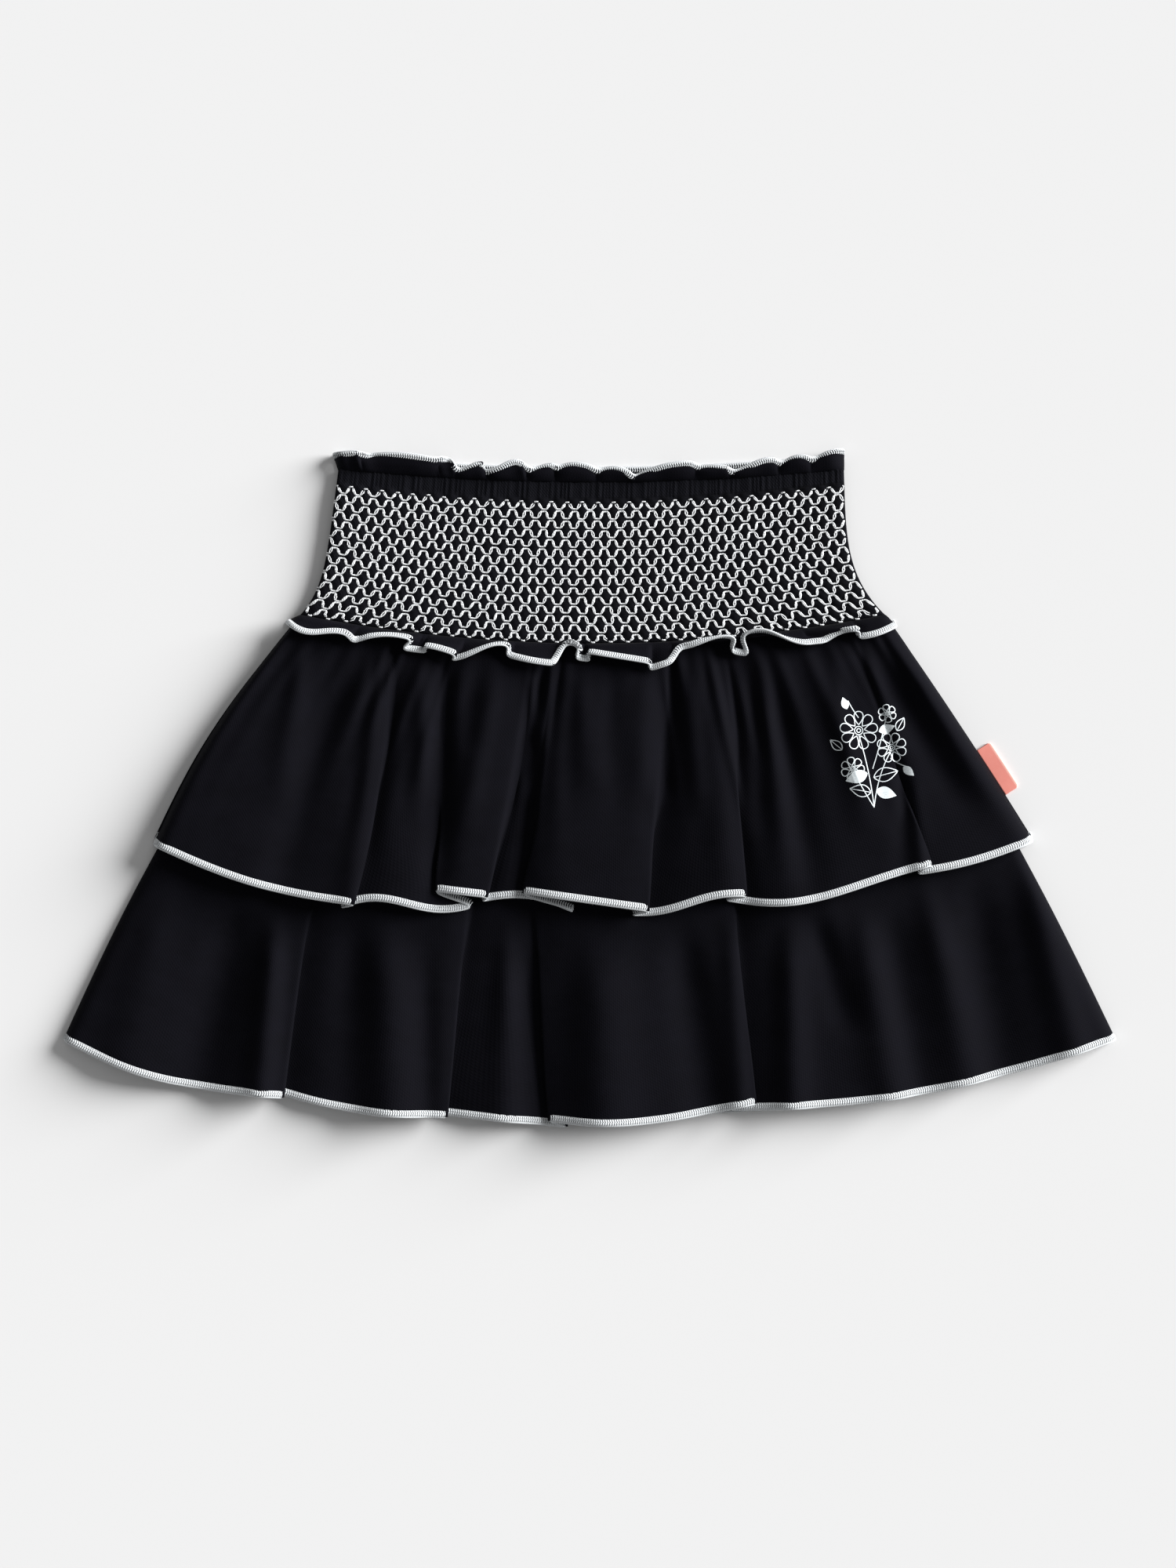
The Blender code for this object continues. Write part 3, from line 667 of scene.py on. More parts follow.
short_back = cloth_piece("short_tier_back", short_back_points)
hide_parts("tier_1_back")
short_front = cloth_piece("short_tier_front", short_front_points)
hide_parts("tier_1_front")

# Smocked waist
# The waistband is jersey drawn in to two fifths of its width. The honeycomb stitches hold it
# down at points set like bricks, and it puffs between them. Above them is a narrow casing,
# where elastic crimps the cloth into fine upright gathers.
BAND_BACK = 3.0
BAND_FRONT = 2.2
SMOCK_PUFF = 1.1
CELLS = 33
# Smocking lines count from -2 at the frill, through 0 at the first stitches, to 15 at the seam.
SMOCK_ROWS = 15
CASING_LINES = 2.0
CASING_RIDGE_HEIGHT = 0.6
CASING_EASE = 0.35
SEAM_EASE = 0.5
BACK_PRESSED_UP = 0.35
BACK_PUFF_SHARE = 0.25
CELL_COLUMNS = 14
LINE_STEPS = 5
BACK_CELL_COLUMNS = 6
BACK_LINE_STEPS = 3
BAND_SIDE_ROUND = 3.5
FRILL_PINCH = Line(10.5, 16.5)
SMOCK_TOP = Line(18.0, 26.0)
SMOCKED_BLACK = (0.0031, 0.0031, 0.0048, 1)
SMOCKED_WORN = (0.0067, 0.0068, 0.0094, 1)
SMOCKED_BUMP = 0.9
BandSide = namedtuple("BandSide", "top_x bottom_x even power")
BAND_LEFT = BandSide(-117.5, -135.5, 0.5, 6)
BAND_RIGHT = BandSide(120.5, 140.0, 0.1, 4)


def band_side_x(side, v):
    """x of the band's outline: a part of the flare is even and the rest opens by a power."""
    return blend(side.top_x, side.bottom_x, side.even * v + (1 - side.even) * v ** side.power)


def band_place(column, line):
    """x, down and side rounding at a half-cell column and a smocking line."""
    in_casing = line < 0
    drop = np.where(in_casing, 1 + line / CASING_LINES, line / SMOCK_ROWS)
    side, centre = (
        np.where(in_casing, blend(pinch, top, drop), blend(top, seam, drop))
        for pinch, top, seam in zip(FRILL_PINCH, SMOCK_TOP, WAIST_SEAM)
    )
    v = np.clip((side - FRILL_PINCH.side) / (WAIST_SEAM.side - FRILL_PINCH.side), 0, None)
    left, right = band_side_x(BAND_LEFT, v), band_side_x(BAND_RIGHT, v)
    x = blend(left, right, column / (2 * CELLS))
    offset = np.minimum(np.abs(x - (left + right) / 2) * 2 / (right - left), 1.0)
    return x, blend(centre, side, offset ** 2), round_side(x, left, right, BAND_SIDE_ROUND)


def band_relief(column, line):
    """Height of the puffs: a brick pattern of cosines in the smocking, ridges in the casing.

    They blend above the first stitches, and both flatten out at the seam.
    """
    puffs = SMOCK_PUFF * (1 - np.cos(math.pi * column) * np.cos(math.pi * line)) / 2
    ridges = CASING_RIDGE_HEIGHT * crimp(column / (2 * CELLS))
    in_casing = smooth(-line / CASING_EASE)
    return blend(puffs, ridges, in_casing) * smooth((SMOCK_ROWS - line) / SEAM_EASE)


def band_front_height(column, line, rounded):
    """Height of the front's outer face, which rounds down to the back at both sides."""
    height = BAND_FRONT - CLOTH + band_relief(column, line)
    return BAND_BACK + SEAM_GAP + CLOTH + height * rounded


def band_back_height(column, line, rounded):
    """Height of the back's under face: puffs pressed flat by the surface, to its very sides."""
    return BACK_PRESSED_UP + BACK_PUFF_SHARE * (SMOCK_PUFF - band_relief(column, line))


def band_grid(cell_columns, line_steps):
    """Columns and lines of a band's grid."""
    lines = int(CASING_LINES + SMOCK_ROWS) * line_steps + 1
    columns = np.linspace(0, 2 * CELLS, CELLS * cell_columns + 1)[None, :]
    return columns, np.linspace(-CASING_LINES, SMOCK_ROWS, lines)[:, None]


def band_shell(columns, lines, outer_height, inner_height):
    """Closed grid of a band: its outer face, then its inner face on the way back up."""
    x, down, rounded = band_place(columns, lines)
    outer = place(x, down, outer_height(columns, lines, rounded))
    return np.concatenate([outer, place(x, down, inner_height(rounded))[::-1]], axis=0)


def band_piece(name, shell, node):
    """A band from its closed grid, with both side edges sewn shut by a strip of quads."""
    around = np.stack([lengths(shell, 1), -lengths(shell, 0)], -1)
    piece = add_piece(name, grid_mesh(name, shell, around, closed=True), smocked)
    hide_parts(node)
    return piece


smocked = jersey_material("Smocked jersey", SMOCKED_BLACK, SMOCKED_WORN, SMOCKED_BUMP)
front_shell = band_shell(
    *band_grid(CELL_COLUMNS, LINE_STEPS), band_front_height,
    lambda rounded: BAND_BACK + SEAM_GAP + SEAM_GAP * rounded,
)
back_shell = band_shell(
    *band_grid(BACK_CELL_COLUMNS, BACK_LINE_STEPS), band_back_height, lambda rounded: BAND_BACK
)
band_back = band_piece("smocked_waist_back", back_shell[::-1], "smocked_band_back")
band_front = band_piece("smocked_waist_front", front_shell, "smocked_band_front")

# Lower frill
# The band's lower edge hangs free over the seam as a narrow frill. It falls in fourteen
# waves, some of them turned far enough to show the wrong side.
FRILL_BEND = 1.0
FRILL_REACH = 0.5
FRILL_LIFT = 4.6
FRILL_TURN = 0.8
FRILL_DIP_WIDE = 1.0
FRILL_MEETING = 5 * LAYER
Wave = namedtuple("Wave", "facing edge_x edge_down under_x under_down sag swing")


def frill_folds(waves, left, right):
    """A frill's waves as folds, their tops spread evenly along its shorter root."""
    folds = []
    for wave in waves:
        share = (wave.edge_x - left.bottom_x) / (right.bottom_x - left.bottom_x)
        top_x = blend(left.top_x, right.top_x, share)
        folds.append(Fold(*wave, top_x, FRILL_BEND, FRILL_REACH, FRILL_LIFT, FRILL_DIP_WIDE))
    return folds


LOW_LEFT = Side(-135.5, -142.0, 0.0)
LOW_RIGHT = Side(140.0, 145.0, 0.0)
LOW_WAVES = (
    Wave("right", -113.0, 89.0, -110.5, 93.0, 3.0, 1.8),
    Wave("right", -82.5, 91.5, -87.5, 96.0, -3.0, 0.0),
    Wave("left", -78.0, 94.5, -75.0, 97.5, 0.0, 0.0),
    Wave("right", -61.5, 99.0, -64.5, 101.0, -0.8, 0.0),
    Wave("right", -37.0, 94.5, -38.5, 99.0, -1.5, 1.8),
    Wave("right", -15.5, 103.5, -11.5, 94.5, 0.8, 0.0),
    Wave("right", -4.0, 95.5, -6.0, 100.5, -2.5, 0.0),
    Wave("left", -1.0, 97.5, 1.5, 101.5, 0.0, 0.0),
    Wave("right", 29.5, 102.5, 28.5, 106.0, 0.0, 0.0),
    Wave("right", 39.5, 102.5, 43.0, 95.5, 0.0, 0.0),
    Wave("right", 69.5, 90.5, 67.0, 97.5, -1.5, 1.5),
    Wave("left", 72.5, 89.5, 75.5, 99.0, 0.0, 0.0),
    Wave("right", 103.5, 93.5, 111.5, 92.5, -3.3, -2.6),
    Wave("right", 128.0, 87.5, 126.5, 91.0, -2.6, 0.0),
)
LOWER_FRILL = SHORT_TIER._replace(
    folds=frill_folds(LOW_WAVES, LOW_LEFT, LOW_RIGHT),
    left=LOW_LEFT,
    right=LOW_RIGHT,
    corners=(83.0, 85.0),
    last_sag=1.5,
    back_edge=Line(84.0, 101.0),
    back_power=2.0,
    turn=FRILL_TURN,
    front_steps=(Step(0, 5 * LAYER + CLOTH / 2), Step(0.3, 8.6), Step(1, 10.6)),
    back_steps=(Step(0, 0.0), Step(1, 0.0)),
    rows=14,
    creases=(),
    gathers=Gathers(52, 0.5, 0.3, 5),
    dips=Dip(1.5, 3.5),
)
low_front_points = front_points(LOWER_FRILL, FRILL_MEETING, BAND_SIDE_ROUND)
low_back_points = back_points(LOWER_FRILL, rows=6, columns=120)
low_back = cloth_piece("lower_frill_cloth_back", low_back_points)
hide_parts("lower_frill_back")
low_front = cloth_piece("lower_frill_cloth_front", low_front_points)
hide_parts("lower_frill_front")

# Heading frill
# Above the casing the band's top edge stands free as a second frill, in twelve waves. The
# fine gathers of the casing run on into it and die away towards its edge.
HEAD_LEFT = Side(-117.5, -120.0, 0.0)
HEAD_RIGHT = Side(120.5, 120.5, 0.0)
HEAD_MEETING = LAYER + CLOTH / 2
HEAD_TUCK = 0.6
HEAD_WAVES = (
    Wave("right", -108.5, 2.5, -104.5, 4.0, 0.0, 0.0),
    Wave("right", -72.0, 6.0, -68.0, 5.0, -1.5, 0.0),
    Wave("right", -64.0, 6.5, -62.0, 10.5, 0.0, 0.0),
    Wave("right", -49.5, 7.5, -50.5, 10.5, 1.0, 2.2),
    Wave("right", -30.5, 8.0, -27.0, 11.0, 0.0, 3.3),
    Wave("right", -17.0, 8.0, -14.5, 10.0, 0.0, 0.0),
    Wave("right", 2.5, 10.0, 5.0, 11.5, -2.6, 0.0),
    Wave("right", 19.5, 12.0, 21.5, 14.5, -2.6, 0.0),
    Wave("right", 49.5, 7.5, 51.5, 9.5, -2.2, 0.0),
    Wave("right", 66.0, 10.0, 68.0, 12.0, -0.7, 0.0),
    Wave("right", 88.5, 6.5, 91.5, 8.0, -1.8, 1.5),
    Wave("right", 104.0, 5.5, 106.5, 6.0, -3.0, 0.0),
)
HEADING_FRILL = LOWER_FRILL._replace(
    folds=frill_folds(HEAD_WAVES, HEAD_LEFT, HEAD_RIGHT),
    left=HEAD_LEFT,
    right=HEAD_RIGHT,
    corners=(3.5, 1.5),
    last_sag=-1.5,
    back_edge=Line(4.0, 10.0),
    root=FRILL_PINCH,
    ends=(BAND_LEFT.top_x, BAND_RIGHT.top_x),
    gap=HEAD_TUCK,
    front_steps=(Step(0, 5.0), Step(0.4, 4.8), Step(1, 4.0)),
    gathers=Gathers(40, 2.3, 0.6, 8),
    crimping=CASING_RIDGE_HEIGHT,
)
head_front_points = front_points(HEADING_FRILL, HEAD_MEETING, BAND_SIDE_ROUND)
head_back_points = back_points(HEADING_FRILL, rows=6, columns=120)
head_back = cloth_piece("heading_frill_cloth_back", head_back_points)
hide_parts("heading_frill_back")
head_front = cloth_piece("heading_frill_cloth_front", head_front_points)
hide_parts("heading_frill_front")

# Overlocked edges
# Every free edge is bound by a three-thread overlock in soft white thread: loops slant over
# both faces and meet in a cord along the raw edge, and a needle thread runs along inside.
STITCH_PITCH = 1.1
TIER_BITE = 2.9
FRILL_BITE = 2.3
LOOP_WIDE = 0.43
LOOP_THICK = 0.2
LOOP_SLANT = 0.45
EDGE_CORD_WIDE = 0.75
EDGE_CORD_THICK = 0.6
NEEDLE_THREAD = 0.2
NEEDLE_SINK = 0.55
LOOP_SIDES = 4
BACK_LOOP_SIDES = 3
CORD_SIDES = 8
CORD_INSET = 0.15
NEEDLE_SIDES = 5
EDGE_SOFTENING = 4
# The overlock's two whites are darker than the smocking thread's: painted shade on the same white
# thread.
OVERLOCK_WHITE_PAINTED_SHADE = (0.64, 0.66, 0.67, 1)
OVERLOCK_GREY_PAINTED_SHADE = (0.40, 0.43, 0.46, 1)
PLY_PITCH = 0.0006
UNEVEN_SCALE = 700.0
LoopPoint = namedtuple("LoopPoint", "bite rise slant wide")
LOOP_PATH = (
    LoopPoint(1.04, 0.0, 0.0, 0.9),
    LoopPoint(0.96, 0.75, 0.05, 1.15),
    LoopPoint(0.80, 1.0, 0.4, 1.12),
    LoopPoint(0.58, 1.1, 0.9, 1.3),
    LoopPoint(0.36, 1.1, 0.5, 1.08),
    LoopPoint(0.12, 1.1, 0.1, 1.35),
    LoopPoint(-0.14, 0.0, -0.1, 1.3),
    LoopPoint(0.12, -1.1, 0.1, 1.1),
    LoopPoint(0.36, -1.1, 0.5, 0.75),
    LoopPoint(0.62, -1.0, 0.9, 0.9),
    LoopPoint(0.96, -0.75, 0.05, 0.75),
)


def thread_material(name, white, shade):
    """Soft spun thread: plies as slanted waves along the UV map, and uneven whiteness."""
    material, tree = new_material(name)
    where = uv_place(tree)
    plies = wave(tree, where, "DIAGONAL", PLY_PITCH, distortion=0.4)
    tone = reckoned(tree, "MULTIPLY", plies, noise(tree, where, UNEVEN_SCALE, detail=2.0))
    colour = mixed(tree, tone, white, shade)
    relief = raised(tree, plies, strength=0.5)
    coat(tree, colour, roughness=0.75, specular=0.3, Normal=relief)
    return material


def unit(vectors):
    return vectors / np.maximum(np.linalg.norm(vectors, axis=-1, keepdims=True), 1e-12)


def tube_points(path, across, wide, thick, sides):
    """Rings of points round each path: an ellipse, wide along across and thick at right angles.

    path and across are arrays of tubes by points by 3. wide and thick are half sizes in metres.
    """
    ahead = unit(np.gradient(path, axis=1))
    across = unit(across - ahead * (across * ahead).sum(-1, keepdims=True))
    other = np.cross(ahead, across)
    angle = (np.arange(sides) * 2 * math.pi / sides)[:, None]
    wide, thick = (np.broadcast_to(half, path.shape[:2])[..., None, None] for half in (wide, thick))
    ring = wide * np.cos(angle) * across[..., None, :] + thick * np.sin(angle) * other[..., None, :]
    return path[..., None, :] + ring


def tube_mesh(name, *groups):
    """A mesh of tubes from groups: their ring points by tube, ring and side, and if closed.

    A closed tube joins its last ring to its first. An open one is capped at both ends. The
    UVs are the distance along the tube and the distance round it.
    """
    points, faces, uv = [], [], []
    for rings, closed in groups:
        shape = rings.shape[:3]
        index = sum(map(len, points)) + np.arange(math.prod(shape)).reshape(shape)
        here = index if closed else index[:, :-1]
        ahead = np.roll(index, -1, axis=1) if closed else index[:, 1:]
        quads = np.stack([here, np.roll(here, -1, 2), np.roll(ahead, -1, 2), ahead], -1)
        faces += quads.reshape(-1, 4).tolist()
        if not closed:
            faces += np.concatenate([index[:, 0, ::-1], index[:, -1]]).tolist()
        travelled = lengths(rings.mean(axis=2), 1)[..., None]
        round_way = lengths(rings[:, 0], 1)[:, None, :]
        points.append(rings.reshape(-1, 3))
        uv.append(np.stack(np.broadcast_arrays(travelled, round_way), -1).reshape(-1, 2))
    return new_mesh(name, np.concatenate(points), faces, np.concatenate(uv))


def spaced(values, travelled, at):
    """Rows of vectors read off at even distances along an edge."""
    return np.stack([np.interp(at, travelled, values[:, axis]) for axis in range(3)], axis=-1)


def overlock(name, points, bite, sides):
    """Overlock along the last row of a cloth grid.

    The edge is divided at the stitch pitch. Every loop is a closed path through the table of
    bite, the share of the way inward, rise, in half thicknesses, and slant, in pitches.
    """
    inward = unit(points[-2] - points[-1])
    travelled = lengths(points[-1:], 1)[0]
    count = int(travelled[-1] / (STITCH_PITCH * MM))
    at = (np.arange(count) + 0.5) / count * travelled[-1]
    edge = softened(spaced(points[-1], travelled, at)[None], EDGE_SOFTENING)[0]
    inward = unit(softened(spaced(inward, travelled, at)[None], EDGE_SOFTENING)[0])
    ahead = unit(np.gradient(edge, axis=0))
    inward = unit(inward - ahead * (inward * ahead).sum(-1, keepdims=True))
    face = np.cross(ahead, inward)
    table = np.array(LOOP_PATH)
    rise = (JERSEY_THICK / 2 + LOOP_THICK) * MM
    steps = (table[:, :1] * bite * MM, table[:, 1:2] * rise, table[:, 2:3] * LOOP_SLANT * MM)
    ways = (inward, face, ahead)
    path = edge[:, None] + sum(way[:, None] * step for way, step in zip(ways, steps))
    across = np.broadcast_to(ahead[:, None], path.shape)
    loops = tube_points(path, across, table[:, 3] * LOOP_WIDE * MM, LOOP_THICK * MM, sides)
    cord = (edge + inward * CORD_INSET * MM)[None]
    cord = tube_points(cord, inward[None], EDGE_CORD_WIDE * MM, EDGE_CORD_THICK * MM, CORD_SIDES)
    needle = (edge + inward * bite * MM + face * rise * NEEDLE_SINK)[None]
    needle = tube_points(needle, inward[None], NEEDLE_THREAD * MM, NEEDLE_THREAD * MM, NEEDLE_SIDES)
    mesh = tube_mesh(name, (loops, True), (cord, False), (needle, False))
    add_piece(name, mesh, thread)


# The overlock's material carries painted shade: its white is darker than the smocking thread's.
thread = thread_material("Overlock thread with painted shade", OVERLOCK_WHITE_PAINTED_SHADE, OVERLOCK_GREY_PAINTED_SHADE)
edges = {
    "long_tier_overlock_front": (long_front_points, TIER_BITE),
    "long_tier_overlock_back": (long_back_points, TIER_BITE),
    "short_tier_overlock_front": (short_front_points, TIER_BITE),
    "short_tier_overlock_back": (short_back_points, TIER_BITE),
    "lower_frill_overlock_front": (low_front_points, FRILL_BITE),
    "lower_frill_overlock_back": (low_back_points, FRILL_BITE),
    "heading_frill_overlock_front": (head_front_points, FRILL_BITE),
    "heading_frill_overlock_back": (head_back_points, FRILL_BITE),
}
for edge_name, (edge_points, edge_bite) in edges.items():
    sides = BACK_LOOP_SIDES if edge_name.endswith("back") else LOOP_SIDES
    overlock(edge_name, edge_points, edge_bite, sides)

# Smocking thread
# Fifteen rows of white zigzag hold the honeycomb. Each stitch is a doubled strand, so its
# slanting legs are thick, with an open eye in about a third of them, and its bars are thin.
SMOCKING_WHITE = (0.88, 0.89, 0.90, 1)
SMOCKING_SHADE = (0.60, 0.63, 0.66, 1)
BAR_GAP = 0.135
BAR_HALF = 0.30
ZIGZAG_STATIONS = (0.0, 0.28, 0.39, 0.5, 0.61, 0.72)
STRAND_SIDES = 5
BACK_STRAND_SIDES = 3
BAR_STRAND = 0.30
LEG_STRAND = 0.42
EYE_STRAND = 0.30
BAR_SPREAD = 0.1
LEG_SPREAD = 0.33
EYE_SPREAD = 0.54
EYE_SHARE = 0.33
CAP_SINK = 0.6
CAP_NARROWING = 0.45
STITCH_WANDER = 0.06
LINE_WANDER_SHARE = 0.5
EYE_RISING = 1.6
EYE_FALLING = 0.4
CAP_AT = 0.82
CAP_WIDTH = 0.12
DOUBLING_RISE = 0.1
STRAND_SIT = 0.16
STRAND_TUCK = 0.05
UP = np.array([0.0, 0.0, 1.0])


def zigzag_strands(rows, seed, height_at, sink_way):
    """Paths and radii of both strands of each zigzag row.

    Column n holds a bar, on the row's upper line where n and the row add up to an even number
    and on its lower line elsewhere, and legs ease between them. The strands lie either side
    of that line, closer at the bars, and every node wanders a little. The free bars of the
    first and last rows are drawn narrower and sink into the cloth at both ends.
    """
    rng = np.random.default_rng(seed)
    nodes = 2 * CELLS
    row = np.arange(rows)[:, None]
    column = (np.arange(nodes)[:, None] + np.array(ZIGZAG_STATIONS)).reshape(1, -1)
    node = np.floor(column).astype(int)
    share = smooth((column - node - BAR_HALF) / (1 - 2 * BAR_HALF))
    lower = (np.arange(nodes + 1)[None, :] + row) % 2
    wander = rng.normal(0, STITCH_WANDER, (rows, nodes + 1))
    drift = rng.normal(0, STITCH_WANDER, (rows, nodes + 1))
    line_at = row + blend(BAR_GAP, 1 - BAR_GAP, lower) + wander * LINE_WANDER_SHARE
    here = np.broadcast_to(node, (rows, node.shape[1]))

    def eased(values):
        """Values at the nodes, eased along the legs between them."""
        before, after = (np.take_along_axis(values, here + step, 1) for step in (0, 1))
        return blend(before, after, share)

    line = eased(line_at)
    upper = 1 - eased(lower)
    tip = np.where(row == 0, upper, 0.0)
    tip = np.where(row == rows - 1, 1 - upper, tip)
    column = column + CAP_NARROWING * tip * (np.round(column) - column)
    column = column + eased(drift)
    leg = np.sin(math.pi * share)
    rising = np.take_along_axis(lower, here, 1) == 1
    chance = np.take_along_axis(rng.uniform(0, 1, (rows, nodes)), here, 1)
    eye = chance < np.where(rising, EYE_RISING, EYE_FALLING) * EYE_SHARE
    spread = blend(BAR_SPREAD, np.where(eye, EYE_SPREAD, LEG_SPREAD), leg)
    strand = blend(BAR_STRAND, np.where(eye, EYE_STRAND, LEG_STRAND), leg)
    sink = np.exp(-(((tip - CAP_AT) / CAP_WIDTH) ** 2)) * CAP_SINK
    x, down, rounded = band_place(np.clip(column, 0, nodes), line)
    path = place(x, down, height_at(column, line, rounded) + sink_way * sink)
    beside = unit(np.cross(unit(np.gradient(path, axis=1)), UP)) * (spread * MM)[..., None]
    rise = UP * DOUBLING_RISE * MM * (1 - leg)[..., None]
    paths = np.concatenate([path + beside, path - beside + rise])
    return paths, np.concatenate([strand, strand]) * MM


smocking_thread = thread_material("Smocking thread", SMOCKING_WHITE, SMOCKING_SHADE)


def smocking(name, seed, height_at, flatness, sink_way, sides):
    """All the zigzag rows of one side of the band as tubes."""
    paths, radii = zigzag_strands(SMOCK_ROWS, seed, height_at, sink_way)
    beside = np.cross(unit(np.gradient(paths, axis=1)), UP)
    rings = tube_points(paths, beside, radii, radii * flatness, sides)
    add_piece(name, tube_mesh(name, (rings, False)), smocking_thread)


smocking(
    "smocking_thread_front", 21, lambda *where: band_front_height(*where) + STRAND_SIT,
    flatness=0.75, sink_way=-1, sides=STRAND_SIDES,
)
smocking(
    "smocking_thread_back", 22, lambda *where: band_back_height(*where) - STRAND_TUCK,
    flatness=0.55, sink_way=1, sides=BACK_STRAND_SIDES,
)

# Screen print
# A small sprig is printed in thin white ink low on the right of the short tier. It is a
# plain design of daisies, leaves and stems, and it follows the cloth's folds.
PRINT_X = 133.0
PRINT_DOWN = 144.0
PRINT_LINE = 0.42
PRINT_START_UP = 30.0
FULL_TURN = 360
RIB_SHARE = 0.8
HEART_SHARE = 0.3
HEART_RINGS = (0.22, 0.1)
PETAL_FULLNESS = 0.9
LEAF_SKEW = 0.8
INK_GRAIN_SCALE = 1500.0
FINE_BUMP_HEIGHT = 0.0001
PRINT_PROUD = 0.12
INK_WHITE = (0.74, 0.80, 0.82, 1)
INK_THIN = (0.52, 0.57, 0.60, 1)
STROKE_STEPS = 32
Flower = namedtuple("Flower", "x up radius petals turn")
Leaf = namedtuple("Leaf", "x up length width turn filled")
Stem = namedtuple("Stem", "x up bend_x bend_up end_x end_up")
FLOWERS = (
    Flower(-6.0, 10.0, 9.0, 9, 10),
    Flower(9.5, 2.0, 7.0, 8, 25),
    Flower(-9.0, -8.0, 5.5, 7, 0),
    Flower(7.5, 18.0, 4.2, 6, 40),
)
LEAVES = (
    Leaf(-2.0, -10.0, 11.0, 3.0, 200, True),
    Leaf(1.0, -12.0, 12.0, 3.2, 15, False),
    Leaf(2.0, -18.0, 10.0, 2.8, 345, True),
    Leaf(-0.5, -19.0, 10.0, 2.8, 170, False),
    Leaf(3.5, 9.5, 8.0, 2.2, 20, True),
    Leaf(-14.0, 1.0, 7.0, 2.0, 140, False),
    Leaf(12.0, 10.0, 7.0, 2.0, 60, False),
    Leaf(-11.5, 20.0, 6.0, 1.8, 110, True),
    Leaf(15.0, -7.0, 6.5, 1.9, 320, True),
)
STEMS = (
    Stem(1.0, -26.0, -1.0, -8.0, -6.0, 8.0),
    Stem(1.0, -26.0, 3.0, -10.0, 9.0, 0.0),
    Stem(1.0, -26.0, -4.0, -18.0, -9.0, -9.0),
    Stem(0.5, -8.0, 5.0, 6.0, 7.0, 16.0),
    Stem(-6.0, 16.0, -9.0, 20.0, -11.0, 24.0),
    Stem(9.0, -3.0, 13.0, -6.0, 17.0, -7.0),
)

def turned_about(x, up, degrees, at):
    """Points turned about the origin and moved to a flower's or leaf's place."""
    angle = math.radians(degrees)
    return (
        at.x + x * math.cos(angle) - up * math.sin(angle),
        at.up + x * math.sin(angle) + up * math.cos(angle),
    )


def stroke(x, up, width=PRINT_LINE):
    """A strip of ink along a line: three points across at each station."""
    line = np.stack([x, up], -1)
    ahead = unit(np.gradient(line, axis=0))
    beside = np.stack([-ahead[:, 1], ahead[:, 0]], -1) * (width / 2)
    return np.stack([line - beside, line, line + beside], 1)


def petal(flower, k):
    """Outline of a petal: out to the tip by a cosine and round it by a sine."""
    t = np.linspace(0, 1, STROKE_STEPS)
    way = (1 - np.cos(2 * math.pi * t)) / 2
    out = blend(flower.radius * HEART_SHARE, flower.radius, way)
    half = PETAL_FULLNESS * flower.radius * math.sin(math.pi / flower.petals)
    beside = half * np.sin(2 * math.pi * t) * np.sqrt(way)
    return turned_about(out, beside, flower.turn + k * FULL_TURN / flower.petals, flower)


def curve(start, bend, end, t):
    """A curve from start to end that is drawn towards a bend, by squares of the way."""
    return (1 - t) ** 2 * start + 2 * t * (1 - t) * bend + t ** 2 * end


def print_strips():
    """Strips of ink, each stations by 3 across by 2, in millimetres from the print's middle.

    A leaf's two sides are plus and minus a skewed sine of its width.
    """
    strips = []
    t = np.linspace(0, 1, STROKE_STEPS)
    circle = 2 * math.pi * t
    for flower in FLOWERS:
        strips += [stroke(*petal(flower, k)) for k in range(flower.petals)]
        for share in HEART_RINGS:
            reach = flower.radius * share
            x, up = flower.x + reach * np.cos(circle), flower.up + reach * np.sin(circle)
            strips.append(stroke(x, up))
    for leaf in LEAVES:
        half = leaf.width * np.sin(math.pi * t ** LEAF_SKEW)
        upper, lower = (
            turned_about(leaf.length * t, side, leaf.turn, leaf) for side in (half, -half)
        )
        if leaf.filled:
            upper, lower = np.stack(upper, -1), np.stack(lower, -1)
            strips.append(np.stack([lower, (lower + upper) / 2, upper], 1))
        else:
            rib = turned_about(leaf.length * t, 0.0, leaf.turn, leaf)
            strips += [stroke(*upper), stroke(*lower), stroke(*rib, PRINT_LINE * RIB_SHARE)]
    for stem in STEMS:
        x = curve(stem.x, stem.bend_x, stem.end_x, t)
        strips.append(stroke(x, curve(stem.up, stem.bend_up, stem.end_up, t)))
    return np.stack(strips)


def ink_material():
    """Thin matt ink that lets a little of the cloth's grain through."""
    material, tree = new_material("White print ink")
    where = tree.nodes.new("ShaderNodeTexCoord").outputs["Object"]
    grain = noise(tree, where, INK_GRAIN_SCALE, detail=3.0)
    colour = mixed(tree, mapped(tree, grain, low=0.5, high=0.75), INK_WHITE, INK_THIN)
    relief = raised(tree, grain, strength=0.3, distance=FINE_BUMP_HEIGHT)
    coat(tree, colour, roughness=0.6, specular=0.3, Normal=relief)
    return material


